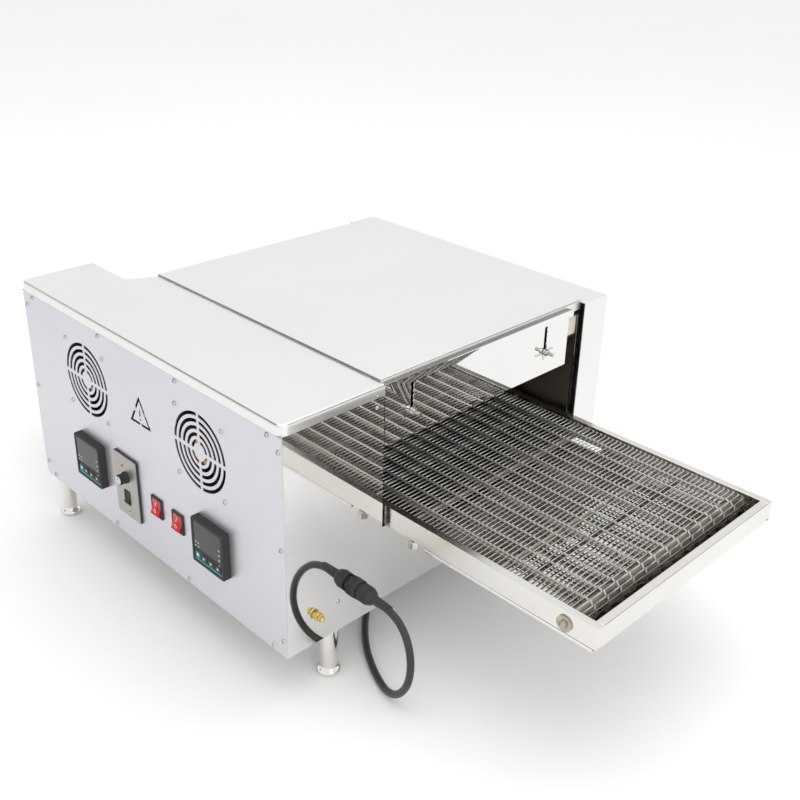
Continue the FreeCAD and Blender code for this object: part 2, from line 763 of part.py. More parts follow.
def shaft(name, sign_x, front):
    """An end shaft: a tube across the belt with a turned-down journal at each end."""
    x = "%d*shaft_x" % sign_x
    tube = rod("y", (x, "belt_y - rail_half + 8", SHAFT_Z), "tube_radius", "2*rail_half - 16")
    start = (x, "belt_y - rail_half - %s" % front, SHAFT_Z)
    journals = rod("y", start, "journal", "2*rail_half + 7 + %s" % front)
    node(fuse([tube, journals]), name + "_shaft")
    wheels = []
    for lane in (-121.5, -94.5, -40.5, 67.5, 121.5, 175.5):
        near = "belt_y + %s - 7" % lane
        wheels.append(toothed_wheel(12, "12.9", "10.4", x, near, SHAFT_Z, "14", "tube_radius"))
    node(group(wheels), name + "_sprockets")


def bushes():
    rings = []
    for x in ("shaft_x", "-shaft_x"):
        for side in (-1, 1):
            wall = "belt_y - rail_half - 2" if side < 0 else "belt_y + rail_half - 3.2"
            flange = "belt_y - rail_half - 2" if side < 0 else "belt_y + rail_half"
            sleeve = rod("y", (x, wall, SHAFT_Z), "tube_radius", "5.2")
            collar = rod("y", (x, flange, SHAFT_Z), "11", "2")
            bore = rod("y", (x, "%s - 5" % wall, SHAFT_Z), "journal + running", "16")
            rings.append(cut(fuse([sleeve, collar]), [bore]))
    node(group(rings), "shaft_bushes")


def drive():
    back = "panel_y + notch_y"
    gearbox = box(("motor_x - 32", back + " - 42", SHAFT_Z + " - 32"), ("64", "40.5", "64"))
    boss = rod("y", ("motor_x", back + " - 4", SHAFT_Z), "11", "6")
    motor = rod("y", ("motor_x", back + " - 107", SHAFT_Z), "30", "66")
    bore = rod("y", ("motor_x", back + " - 32", SHAFT_Z), "journal + running", "40")
    node(cut(fuse([gearbox, boss, motor]), [bore]), "gear_motor")

    tip = "chain_radius + 1.6"
    root = "chain_radius - 1.8"
    pinion = toothed_wheel(16, tip, root, "motor_x", "chain_y - 1.3", SHAFT_Z, "2.6", "journal")
    stub = rod("y", ("motor_x", back + " - 30", SHAFT_Z), "journal", "chain_y + 4 - (%s - 30)" % back)
    node(fuse([pinion, stub]), "motor_sprocket")
    wheel = toothed_wheel(16, tip, root, "-shaft_x", "chain_y - 1.3", SHAFT_Z, "2.6", "journal")
    node(wheel, "drive_chainwheel")

    ends = ("-shaft_x", "motor_x")
    outer = stadium(*ends, "chain_y - 3", SHAFT_Z, "chain_radius + 3", "6")
    core = stadium(*ends, "chain_y - 4", SHAFT_Z, "chain_radius - 3", "8")
    groove = stadium(*ends, "chain_y - 1.8", SHAFT_Z, "chain_radius + 2.1", "3.6")
    node(cut(outer, [core, groove]), "drive_chain")

    case = stadium(*ends, "chain_y - 9", SHAFT_Z, "26", "belt_y - rail_half - 0.5 - (chain_y - 9)")
    room = stadium(*ends, "chain_y - 7.8", SHAFT_Z, "24.8", "40")
    eye = rod("y", ("motor_x", "chain_y - 12", SHAFT_Z), "8", "8")
    node(cut(case, [room, eye]), "chain_guard")


def crumb_tray():
    """A shallow tray that hangs from the rails' lower flanges, with a tongue to the tunnel mouth."""
    low = under("rail_top - rail_high")
    long = "tray_end - tray_start"
    floor = box(("tray_start", "belt_y - rail_half", low + " - 5"), (long, "2*rail_half", "1"))
    tongue = box(("tray_start - 74", "belt_y - 185", low + " - 5"), ("75", "370", "1"))
    pieces = [floor, tongue]
    for side in (-1, 1):
        edge = "belt_y - rail_half" if side < 0 else "belt_y + rail_half - 1"
        hook = "belt_y - 193.8" if side < 0 else "belt_y + 192.8"
        lip = "belt_y - 198" if side < 0 else "belt_y + 192.8"
        pieces.append(box(("tray_start", edge, low + " - 5"), (long, "1", "4.4")))
        pieces.append(box(("tray_start", hook, low + " - 5"), (long, "1", "7.6")))
        pieces.append(box(("tray_start", lip, low + " + 1.6"), (long, "5.2", "1")))
    for x in ("tray_start", "tray_end - 1"):
        pieces.append(box((x, "belt_y - 193", low + " - 5"), ("1", "386", "3")))
    return fuse(pieces)


def trays():
    outlet = node(crumb_tray(), "outlet_crumb_tray")
    node(mirror(outlet), "inlet_crumb_tray")
    y = "belt_y - rail_half + 3.6"
    low = under("rail_top - rail_high")
    grip = cone("z", ("knob_x", y, low + " - 12.4"), "7", "8", "12")
    stem = rod("z", ("knob_x", y, low + " - 2"), "1.6", "8")
    node(fuse([grip, stem]), "deck_clamp_knob")


# ---------------------------------------------------------------- feet and lead
def legs():
    profile = [("0", "0"), ("14", "0"), ("17", "2.5"), ("17", "6"), ("12", "11"), ("11.8", "16"),
               ("15", "leg_high"), ("0", "leg_high")]
    feet = []
    spots = (("box_right - 18", behind(85)), ("box_left + 20", behind(22)),
             ("box_right - 20", REAR + " + rear_deep - 22"), ("rear_left + 20", REAR + " + rear_deep - 22"))
    for x, y in spots:
        leg = body("leg")
        revolve(leg, outline(leg, "XZ_Plane", profile), "Z_Axis")
        feet.append(place(leg, x, y, "0"))
    node(group(feet), "legs")


def cable_gland():
    y, z = behind("gland_y"), under("gland_z")
    hexagon = prism("x", ("box_right", y, z), 6, "14.5", "11")
    throat = rod("x", ("box_right + 10", y, z), "11", "6")
    cap = prism("x", ("box_right + 15", y, z), 6, "13.5", "12")
    dome = cone("x", ("box_right + 26", y, z), "12", "6.5", "gland_long - 26")
    thread = rod("x", ("box_right - 10", y, z), "10", "11")
    lock = prism("x", ("box_right - sheet - 5", y, z), 6, "15", "5")
    node(fuse([hexagon, throat, cap, dome, thread, lock]), "cable_gland")


def earth_stud():
    y, z = behind(49), under(46)
    stud = rod("x", ("box_right - 8", y, z), "3", "24")
    nuts = []
    for start, length in ((0, 3), (4.4, 3), (9, 3)):
        nut = prism("x", ("box_right + %g" % start, y, z), 6, "5.8", str(length))
        nuts.append(cut(nut, [rod("x", ("box_right - 10", y, z), "3", "40")]))
    washer = rod("x", ("box_right + 3", y, z), "7", "1.2")
    nuts.append(cut(washer, [rod("x", ("box_right - 10", y, z), "3", "40")]))
    node(group([stud] + nuts), "earth_stud")


CORD_ROUTE = [
    (307, -193.4, 134), (338, -194, 134), (367, -198, 117), (384, -204, 87), (385, -209, 52.4),
    (368, -210, 22.6), (338, -204, 5.35), (294, -187, 5.35), (246, -158, 5.35), (198, -114, 5.35),
    (156, -58, 5.35), (127, 8, 5.35), (113, 84, 5.35), (108, 160, 5.35), (92, 232, 5.35),
    (72, 296, 5.35), (64, 350, 5.35), (70, 396, 5.35),
]


def rounded_path(points):
    """Straight runs joined by tangent arcs, each as large as its runs allow."""
    edges = []
    start = points[0]
    radii = []
    for before, corner, after in zip(points, points[1:], points[2:]):
        into = (corner - before).normalize()
        away = (after - corner).normalize()
        turn = into.getAngle(away)
        trim = 0.45 * min((corner - before).Length, (after - corner).Length)
        radii.append(trim / math.tan(turn / 2))
        enter = corner - into * trim
        leave = corner + away * trim
        inward = (away - into).normalize()
        depth = radii[-1] / math.cos(turn / 2) - radii[-1]
        middle = corner + inward * depth
        edges.append(Part.LineSegment(start, enter).toShape())
        edges.append(Part.Arc(enter, middle, leave).toShape())
        start = leave
    edges.append(Part.LineSegment(start, points[-1]).toShape())
    return Part.Wire(edges), radii


def power_lead():
    radius = SIZES["cord_radius"]
    points = [V(*place_at) for place_at in CORD_ROUTE]
    path, radii = rounded_path(points)
    print("cord radii", [round(value) for value in radii], "length", round(path.Length, 1))
    section = Part.Wire([Part.Circle(points[0], points[1] - points[0], radius).toShape()])
    tube = path.makePipeShell([section], True, False)
    expected = math.pi * radius ** 2 * path.Length
    print("cord volume ratio", round(tube.Volume / expected, 4))
    cord = doc.addObject("Part::Feature", "cord")
    cord.Shape = tube
    node(cord, "power_cord")

    end = points[-1]
    x, y = "%.1f - coil_radius" % end.x, "%.1f + 0.6*coil_radius" % end.y
    ring = rod("z", (x, y, "0.1"), "coil_radius + 2*cord_radius + 4", "4*cord_radius + 1")
    hole = rod("z", (x, y, "-1"), "coil_radius - 2*cord_radius - 4", "6*cord_radius")
    node(cut(ring, [hole]), "power_cord_coil")


def power_plug():
    """A two-pin plug that lies on the floor beside the coil, its pins to -X."""
    grip = box(("plug_x", "plug_y - 17", "0.1"), ("46", "34", "27"))
    waist = cone("x", ("plug_x + 45", "plug_y", "12"), "11", "6.5", "30")
    pins = []
    for side in (-9.5, 9.5):
        pins.append(rod("x", ("plug_x - 19", "plug_y + %.1f" % side, "13.5"), "2.4", "20"))
    node(fuse([grip, waist] + pins), "power_plug")


def build():
    control_box()
    control_panel()
    control_box_lid()
    panel_screws()
    fans()
    temperature_controllers()
    power_switches()
    speed_control()
    control_gear()
    chamber()
    chamber_cover()
    rear_housing()
    thermocouples()
    curtains()
    conveyor_frame()
    belt()
    shaft("drive", -1, "18")
    shaft("idler", 1, "5")
    bushes()
    drive()
    trays()
    legs()
    cable_gland()
    earth_stud()
    power_lead()
    power_plug()


def check():
    """Stop on a failed feature or an empty or broken shape."""
    for item in doc.Objects:
        if "Invalid" in item.State or "Error" in item.State:
            raise RuntimeError("%s (%s) failed: %s" % (item.Name, item.Label, item.State))
    for piece in NODES:
        if piece.Shape.isNull() or not piece.Shape.isValid() or not piece.Shape.Solids:
            raise RuntimeError(piece.Label + " has no sound shape")


def write():
    os.makedirs("parts", exist_ok=True)
    for piece in NODES:
        piece.Shape.exportStep("parts/%s.step" % piece.Label)
        print("%-26s %2d solids %12.1f mm3" % (piece.Label, len(piece.Shape.Solids), piece.Shape.Volume))


build()
doc.recompute()
check()
write()
print(len(NODES), "nodes")
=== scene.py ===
"""Finished look of a conveyor pizza oven, laid out as an add-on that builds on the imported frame."""
import json
import math

import bmesh
import bpy
from mathutils import Matrix, Quaternion, Vector


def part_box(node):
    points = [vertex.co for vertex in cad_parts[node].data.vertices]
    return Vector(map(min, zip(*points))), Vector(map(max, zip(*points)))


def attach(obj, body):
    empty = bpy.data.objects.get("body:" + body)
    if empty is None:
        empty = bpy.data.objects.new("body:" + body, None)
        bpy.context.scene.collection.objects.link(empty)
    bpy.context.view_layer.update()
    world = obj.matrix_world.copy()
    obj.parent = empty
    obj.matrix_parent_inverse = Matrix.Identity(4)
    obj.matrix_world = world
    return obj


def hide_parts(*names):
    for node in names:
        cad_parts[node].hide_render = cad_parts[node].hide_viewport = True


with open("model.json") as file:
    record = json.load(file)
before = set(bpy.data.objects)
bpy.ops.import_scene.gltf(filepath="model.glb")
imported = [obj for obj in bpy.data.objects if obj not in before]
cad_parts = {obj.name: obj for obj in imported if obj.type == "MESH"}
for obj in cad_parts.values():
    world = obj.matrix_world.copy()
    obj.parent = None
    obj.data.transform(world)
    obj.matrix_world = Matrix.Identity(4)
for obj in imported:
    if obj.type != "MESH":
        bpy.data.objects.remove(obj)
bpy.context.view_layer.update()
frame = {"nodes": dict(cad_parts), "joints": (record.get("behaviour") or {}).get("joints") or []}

bl_info = {
    "name": "Conveyor pizza oven",
    "version": (1, 0, 0),
    "blender": (4, 5, 0),
    "location": "3D View > Sidebar > Oven",
    "description": "Builds the visible pieces of a conveyor pizza oven round its packed frame",
    "category": "Object",
}

MM = 0.001
OUT = Vector((0, -1, 0))
INTO = Vector((0, 1, 0))
RIGHT = Vector((1, 0, 0))
UP = Vector((0, 0, 1))
NODES = frame["nodes"]
CREASE = 32             # degrees of turn past which an edge stays sharp


# ---------------------------------------------------------------- settings
class OvenBeltSettings(bpy.types.PropertyGroup):
    """Sizes of the woven wire belt."""
    wire: bpy.props.FloatProperty(
        name="Wire", description="Thickness of the belt wire", default=1.6 * MM, unit="LENGTH")
    lanes: bpy.props.IntProperty(
        name="Lanes", description="Straight spans between two rows of hooks", default=14, min=2)
    rods: bpy.props.IntProperty(
        name="Rods", description="Wires round the whole belt", default=324, min=12)
    hook: bpy.props.FloatProperty(
        name="Hook", description="Half width of a hook", default=1.5 * MM, unit="LENGTH")


class OvenLeadSettings(bpy.types.PropertyGroup):
    """Sizes of the power lead."""
    thickness: bpy.props.FloatProperty(
        name="Thickness", description="Outer diameter of the lead", default=10.5 * MM, unit="LENGTH")
    coil: bpy.props.FloatProperty(
        name="Coil", description="Middle radius of the put-away coil", default=60 * MM, unit="LENGTH")
    boot: bpy.props.FloatProperty(
        name="Boot", description="Length of the strain relief", default=24 * MM, unit="LENGTH")


class OvenFinishSettings(bpy.types.PropertyGroup):
    """Main colours of the oven."""
    sheet: bpy.props.FloatVectorProperty(
        name="Sheet", description="Colour of the stainless sheet", subtype="COLOR",
        default=(0.83, 0.83, 0.82))
    panel: bpy.props.FloatVectorProperty(
        name="Panel", description="Colour of the satin control panel", subtype="COLOR",
        default=(0.68, 0.672, 0.705))
    switch: bpy.props.FloatVectorProperty(
        name="Switch", description="Colour of the lit rockers", subtype="COLOR",
        default=(0.66, 0.006, 0.008))
    accent: bpy.props.FloatVectorProperty(
        name="Accent", description="Colour of the stripe on the controllers", subtype="COLOR",
        default=(0.03, 0.29, 0.29))


class OvenStageSettings(bpy.types.PropertyGroup):
    """Lights and floor round the oven."""
    sky: bpy.props.FloatProperty(
        name="Sky", description="Strength of the even white surroundings", default=0.96, min=0)
    lamp: bpy.props.FloatProperty(
        name="Lamp", description="Power of the large overhead light", default=40, min=0, subtype="POWER")


# ---------------------------------------------------------------- finishes
class Finish:
    """One node material: a metal, plastic or rubber whose colour, gloss and surface vary."""

    def __init__(self, name, colour, metallic=0.0, roughness=0.4):
        self.material = bpy.data.materials.new(name)
        self.material.use_nodes = True
        self.tree = self.material.node_tree
        self.shader = self.tree.nodes["Principled BSDF"]
        self.colour = tuple(colour)
        self.shader.inputs["Base Color"].default_value = (*colour, 1)
        self.shader.inputs["Metallic"].default_value = metallic
        self.shader.inputs["Roughness"].default_value = roughness
        self.place = self.tree.nodes.new("ShaderNodeTexCoord").outputs["Object"]

    def link(self, source, target):
        """Join two sockets."""
        self.tree.links.new(source, target)

    def noise(self, scale, stretch=(1, 1, 1), detail=3):
        """A fractal pattern on the piece, stretched along one axis for a brushed grain."""
        mapping = self.tree.nodes.new("ShaderNodeMapping")
        mapping.inputs["Scale"].default_value = stretch
        pattern = self.tree.nodes.new("ShaderNodeTexNoise")
        pattern.inputs["Scale"].default_value = scale
        pattern.inputs["Detail"].default_value = detail
        self.link(self.place, mapping.inputs["Vector"])
        self.link(mapping.outputs["Vector"], pattern.inputs["Vector"])
        return pattern.outputs["Fac"]

    def between(self, pattern, low, high):
        """A value that goes from low to high over the middle of the pattern's range."""
        span = self.tree.nodes.new("ShaderNodeMapRange")
        for name, value in zip(("From Min", "From Max", "To Min", "To Max"), (0.3, 0.7, low, high)):
            span.inputs[name].default_value = value
        self.link(pattern, span.inputs["Value"])
        return span.outputs["Result"]

    def gloss(self, pattern, low, high):
        """Vary the roughness between two values."""
        self.link(self.between(pattern, low, high), self.shader.inputs["Roughness"])
        return self

    def shade(self, pattern, tint):
        """Vary the colour between itself and a darker tint of it."""
        mix = self.tree.nodes.new("ShaderNodeMix")
        mix.data_type = "RGBA"
        mix.inputs["A"].default_value = (*(part * share for part, share in zip(self.colour, tint)), 1)
        mix.inputs["B"].default_value = (*self.colour, 1)
        self.link(self.between(pattern, 0, 1), mix.inputs["Factor"])
        self.link(mix.outputs["Result"], self.shader.inputs["Base Color"])
        return self

    def relief(self, pattern, depth, strength):
        """Raise the surface by the pattern, up to a depth."""
        bump = self.tree.nodes.new("ShaderNodeBump")
        bump.inputs["Strength"].default_value = strength
        bump.inputs["Distance"].default_value = depth
        self.link(pattern, bump.inputs["Height"])
        self.link(bump.outputs["Normal"], self.shader.inputs["Normal"])

    def set(self, values):
        """Give fixed values to inputs of the shader."""
        for name, value in values.items():
            self.shader.inputs[name].default_value = value


ALONG_X, ALONG_Y, ALONG_Z = (0.35, 14, 14), (1, 0.1, 1), (14, 14, 0.35)
PANEL_GRAIN, SHEET_GRAIN, RAIL_GRAIN = (90, ALONG_Z), (90, ALONG_X), (120, (0.2, 16, 16))
PLATE_GRAIN, LEG_RINGS, WIRE_STAINS = (160, (0.3, 14, 14)), (40, (0.3, 0.3, 12)), (24, (1, 0.5, 1), 4)
WINDINGS, WOOL_STRANDS, HEATER_COIL = (420, ALONG_Y), (160, (1, 3, 1), 6), (60, (1, 6, 1))

# Each row: colour (or the setting that holds it), metallic, pattern and darker tint of the colour,
# pattern and range of the roughness, pattern, depth in millimetres and strength of the relief.
# A pattern is a noise scale, then its stretch and its detail where they aren't even and 3.
FINISHES = {
    "satin_panel": ("panel", 0.85, (3,), (0.95, 0.95, 0.97), PANEL_GRAIN, (0.34, 0.46),
                    PANEL_GRAIN, 0.02, 0.12),
    "satin_sheet": ("sheet", 0.9, (2.5,), (0.96, 0.96, 0.95),
                    SHEET_GRAIN, (0.32, 0.42), SHEET_GRAIN, 0.02, 0.1),
    "mirror_sheet": ((0.80, 0.79, 0.78), 1, (4,), (0.95, 0.945, 0.935), (6, (1, 1, 1), 4), (0.012, 0.05),
                     (3,), 0.05, 0.04),
    "rail_sheet": ((0.80, 0.785, 0.755), 1, (7,), (0.93, 0.92, 0.90), RAIL_GRAIN, (0.15, 0.27),
                   RAIL_GRAIN, 0.02, 0.12),
    "heated_steel": ((0.33, 0.30, 0.265), 1, (9, (1, 1, 1), 5), (0.60, 0.54, 0.46), (20,), (0.28, 0.46),
                     (60,), 0.05, 0.2),
    "belt_wire": ((0.62, 0.60, 0.56), 1, WIRE_STAINS, (0.60, 0.55, 0.47), (45,), (0.18, 0.34),
                  (900,), 0.03, 0.2),
    # painted shade: a darker copy of belt_wire for the lower run, which lies in shadow under the upper run
    "sooty_wire": ((0.27, 0.25, 0.22), 1, WIRE_STAINS, (0.55, 0.5, 0.44), (45,), (0.22, 0.42),
                   (900,), 0.03, 0.2),
    "shaft_steel": ((0.47, 0.425, 0.355), 1, (14, (1, 0.3, 1)), (0.70, 0.66, 0.60), (50,), (0.22, 0.42),
                    (300, (1, 0.05, 1)), 0.03, 0.2),
    "dark_steel": ((0.022, 0.021, 0.02), 0.2, (40,), (0.5, 0.5, 0.5), (90,), (0.3, 0.5), (260,), 0.06, 0.3),
    "oiled_chain": ((0.20, 0.185, 0.165), 1, (70,), (0.5, 0.46, 0.4), (120,), (0.22, 0.42),
                    (500,), 0.04, 0.2),
    "bright_screw": ((0.66, 0.65, 0.63), 1, (110,), (0.80, 0.79, 0.76), (160,), (0.14, 0.3),
                     (700,), 0.03, 0.2),
    "polished_leg": ((0.70, 0.65, 0.57), 1, (12,), (0.90, 0.88, 0.85), LEG_RINGS, (0.08, 0.18),
                     LEG_RINGS, 0.03, 0.15),
    "yellow_brass": ((0.78, 0.60, 0.22), 1, (90,), (0.75, 0.66, 0.52), (150,), (0.17, 0.34),
                     (600,), 0.03, 0.2),
    "bush_bronze": ((0.58, 0.52, 0.44), 1, (120,), (0.68, 0.66, 0.62), (200,), (0.34, 0.52),
                    (1400,), 0.06, 0.35),
    "copper_winding": ((0.66, 0.46, 0.20), 0.7, WINDINGS, (0.45, 0.36, 0.28), (90,), (0.25, 0.45),
                       WINDINGS, 0.2, 0.5),
    "black_plastic": ((0.011, 0.0115, 0.0112), 0, (30,), (0.72, 0.72, 0.74), (60,), (0.36, 0.52),
                      (1500,), 0.04, 0.35),
    "screen_glass": ((0.030, 0.030, 0.034), 0, (25,), (0.82, 0.82, 0.84), (14,), (0.16, 0.28),
                     (900,), 0.01, 0.15),
    "accent_print": ("accent", 0, (120,), (0.82, 0.9, 0.9), (200,), (0.3, 0.42), (1500,), 0.02, 0.2),
    "white_print": ((0.74, 0.77, 0.77), 0, (300,), (0.85, 0.87, 0.87), (220,), (0.36, 0.5),
                    (1500,), 0.02, 0.2),
    "key_rubber": ((0.085, 0.09, 0.095), 0, (200,), (0.8, 0.8, 0.8), (300,), (0.45, 0.6), (2000,), 0.02, 0.3),
    "red_rocker": ("switch", 0, (45,), (0.72, 0.6, 0.6), (60,), (0.12, 0.24), (400,), 0.02, 0.15),
    "red_lamp": ((0.55, 0.03, 0.03), 0, (300,), (0.7, 0.6, 0.6), (250,), (0.15, 0.3)),
    "grey_plate": ((0.085, 0.079, 0.068), 0.8, (25,), (0.85, 0.84, 0.82), PLATE_GRAIN, (0.3, 0.44),
                   PLATE_GRAIN, 0.03, 0.2),
    "rubber_sheath": ((0.028, 0.029, 0.028), 0, (50,), (0.7, 0.7, 0.7), (75,), (0.34, 0.52),
                      (1100,), 0.06, 0.3),
    "grey_enamel": ((0.15, 0.16, 0.17), 0, (20,), (0.85, 0.85, 0.85), (40,), (0.3, 0.46), (420,), 0.08, 0.3),
    "grey_moulding": ((0.42, 0.42, 0.41), 0, (25,), (0.86, 0.86, 0.84), (50,), (0.4, 0.55),
                      (900,), 0.04, 0.3),
    "wool_board": ((0.70, 0.66, 0.52), 0, WOOL_STRANDS, (0.7, 0.68, 0.62), WOOL_STRANDS, (0.9, 1.0),
                   WOOL_STRANDS, 0.8, 0.7),
    "quartz_tube": ((0.80, 0.74, 0.66), 0, HEATER_COIL, (0.62, 0.52, 0.42), HEATER_COIL, (0.22, 0.4),
                    HEATER_COIL, 0.1, 0.3),
}
EXTRAS = {
    "red_rocker": {"Coat Weight": 0.15, "Coat Roughness": 0.08, "Specular IOR Level": 0.3},
    "rubber_sheath": {"Sheen Weight": 0.08},
}


def finish_named(name):
    """The finish of that name, made the first time that a piece asks for it."""
    made = bpy.data.materials.get(name)
    if made:
        return made
    colour, metallic, stains, tint, gloss, shine, *relief = FINISHES[name]
    if isinstance(colour, str):
        colour = getattr(bpy.context.scene.oven_finish, colour)
    finish = Finish(name, colour, metallic)
    finish.shade(finish.noise(*stains), tint).gloss(finish.noise(*gloss), *shine)
    finish.set(EXTRAS.get(name, {}))
    if relief:
        pattern, depth, strength = relief
        finish.relief(finish.noise(*pattern), depth * MM, strength)
    return finish.material


# ---------------------------------------------------------------- making pieces
def add_object(name, data):
    """Put a new object that holds the data into the scene."""
    made = bpy.data.objects.new(name, data)
    bpy.context.scene.collection.objects.link(made)
    return made


def smooth(mesh, crease):
    """Shade a mesh smooth but for the edges that turn by more than the crease angle."""
    mesh.shade_smooth()
    mesh.set_sharp_from_angle(angle=math.radians(crease))


def piece_from(shape, name, finish, crease=CREASE):
    """Turn a bmesh into a smooth-shaded object whose edges stay sharp past the crease angle."""
    mesh = bpy.data.meshes.new(name)
    shape.to_mesh(mesh)
    shape.free()
    mesh.materials.append(finish_named(finish))
    smooth(mesh, crease)
    return add_object(name, mesh)


def settle(piece, body, slot, *nodes):
    """Let a finished piece ride on its body and stand for its nodes; the slot is not used."""
    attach(piece, body)
    if nodes:
        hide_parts(*nodes)
    return piece


def finished(shape, name, finish, body, slot, *nodes, crease=CREASE):
    """Turn a shape into a finished piece with its faces outwards, and settle it."""
    return settle(piece_from(outward(shape), name, finish, crease), body, slot, *nodes)


def carve(piece, cutter, **options):
    """Cut one closed piece out of another and drop the cutter."""
    cut = piece.modifiers.new("cut", "BOOLEAN")
    cut.operation, cut.solver, cut.object = "DIFFERENCE", "EXACT", cutter
    for name, value in options.items():
        setattr(cut, name, value)
    bake(piece)
    bpy.data.objects.remove(cutter)


def soften(piece, width, steps=2, angle=35):
    """Round the edges that turn by more than the angle."""
    bevel = piece.modifiers.new("edges", "BEVEL")
    bevel.width = width
    bevel.segments = steps
    bevel.limit_method = "ANGLE"
    bevel.angle_limit = math.radians(angle)
    bevel.use_clamp_overlap = True
    bevel.harden_normals = True
    return bake(piece)


def flatten(piece):
    """Let the large flat faces decide the shading beside small bends."""
    weigh = piece.modifiers.new("flat", "WEIGHTED_NORMAL")
    weigh.mode = "FACE_AREA"
    weigh.weight = 100
    weigh.keep_sharp = True
    return bake(piece)


def bake(piece):
    """Replace a piece's mesh by what its modifiers make of it."""
    graph = bpy.context.evaluated_depsgraph_get()
    mesh = bpy.data.meshes.new_from_object(piece.evaluated_get(graph))
    piece.modifiers.clear()
    old = piece.data
    piece.data = mesh
    mesh.name = piece.name
    bpy.data.meshes.remove(old)
    return piece


def add_box(shape, low, high):
    """Add a closed block between two corners."""
    low, high = Vector(low), Vector(high)
    place = Matrix.Translation((low + high) / 2) @ Matrix.Diagonal((*(high - low), 1))
    bmesh.ops.create_cube(shape, size=1, matrix=place)


def join_loops(shape, loops):
    """Bridge neighbouring closed loops of equal length with faces."""
    for near, far in zip(loops, loops[1:]):
        for k in range(len(near)):
            after = (k + 1) % len(near)
            shape.faces.new([near[k], near[after], far[after], far[k]])


def add_turned(shape, profile, origin, axis, steps=32):
    """Add a closed turned shape: profile holds (radius, way along the axis) from end to end."""
    axis = Vector(axis).normalized()
    side = axis.orthogonal().normalized()
    other = axis.cross(side)
    rings = []
    for radius, way in profile:
        middle = Vector(origin) + axis * way
        if radius < 1e-7:
            rings.append([shape.verts.new(middle)])
            continue
        ring = []
        for k in range(steps):
            turn = math.tau * k / steps
            ring.append(shape.verts.new(middle + (side * math.cos(turn) + other * math.sin(turn)) * radius))
        rings.append(ring)
    for near, far in zip(rings, rings[1:]):
        for k in range(steps):
            after = (k + 1) % steps
            corners = [near[k % len(near)], near[after % len(near)],
                       far[after % len(far)], far[k % len(far)]]
            corners = list(dict.fromkeys(corners))
            if len(corners) > 2:
                shape.faces.new(corners)


def add_plate(shape, outline, origin, across, up, thick):
    """Add a closed plate: an outline in a plane, made thick along the plane's normal."""
    across, up = Vector(across), Vector(up)
    normal = across.cross(up).normalized()
    layers = []
    for way in (0, thick):
        layers.append([shape.verts.new(Vector(origin) + across * u + up * v + normal * way)
                       for u, v in outline])
    shape.faces.new(layers[0][::-1])
    shape.faces.new(layers[1])
    join_loops(shape, layers)


def in_mm(points):
    """Points or profile steps given in millimetres, in the frame's metres."""
    return [tuple(value * MM for value in point) for point in points]


def disc(radius, thick):
    """The profile of a plain disc or rod, from millimetres."""
    return in_mm([(0, 0), (radius, 0), (radius, thick), (0, thick)])


def around(radii, turn=0.0):
    """An outline whose corners stand at even turns, one for each radius."""
    return [(radius * math.cos(turn + math.tau * k / len(radii)),
             radius * math.sin(turn + math.tau * k / len(radii))) for k, radius in enumerate(radii)]


def regular(count, radius, turn=0.0):
    """The outline of a regular polygon."""
    return around([radius] * count, turn)


def rounded_rectangle(wide, tall, radius, steps=5):
    """The outline of a rectangle with round corners, about its middle."""
    points = []
    for quarter, (u, v) in enumerate(((1, 1), (-1, 1), (-1, -1), (1, -1))):
        for k in range(steps + 1):
            turn = math.radians(90 * quarter + 90 * k / steps)
            points.append((u * (wide / 2 - radius) + radius * math.cos(turn),
                           v * (tall / 2 - radius) + radius * math.sin(turn)))
    return points


def outward(shape):
    """Point every face of a closed shape outwards."""
    bmesh.ops.recalc_face_normals(shape, faces=shape.faces)
    return shape


def merged_copy(node):
    """A node's mesh with its loose triangles joined and its flat faces cleaned."""
    shape = bmesh.new()
    shape.from_mesh(NODES[node].data)
    bmesh.ops.remove_doubles(shape, verts=shape.verts, dist=2e-6)
    bmesh.ops.dissolve_degenerate(shape, edges=shape.edges, dist=1e-6)
    return shape


def solids(node):
    """The lowest and highest corner of each separate solid of a node, in the frame's order."""
    shape = merged_copy(node)
    shape.verts.ensure_lookup_table()
    left, found = set(shape.verts), []
    while left:
        front, island = [left.pop()], []
        while front:
            vertex = front.pop()
            island.append(vertex.co.copy())
            for edge in vertex.link_edges:
                other = edge.other_vert(vertex)
                if other in left:
                    left.remove(other)
                    front.append(other)
        found.append((Vector(map(min, zip(*island))), Vector(map(max, zip(*island)))))
    shape.free()
    return sorted(found, key=lambda pair: tuple(round(v, 5) for v in pair[0]))


def middle_of(node, **face):
    """The middle of a node's box, moved onto the faces that are given."""
    low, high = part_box(node)
    spot = (low + high) / 2
    for axis, value in face.items():
        setattr(spot, axis, value)
    return spot


def dress(node, body, slot, finish, edge=0.0):
    """A merged copy of a node, smooth on turned faces, with its edges rounded by an edge width."""
    piece = piece_from(merged_copy(node), node + "_finished", finish)
    if edge:
        soften(piece, edge)
    return settle(flatten(piece), body, slot, node)


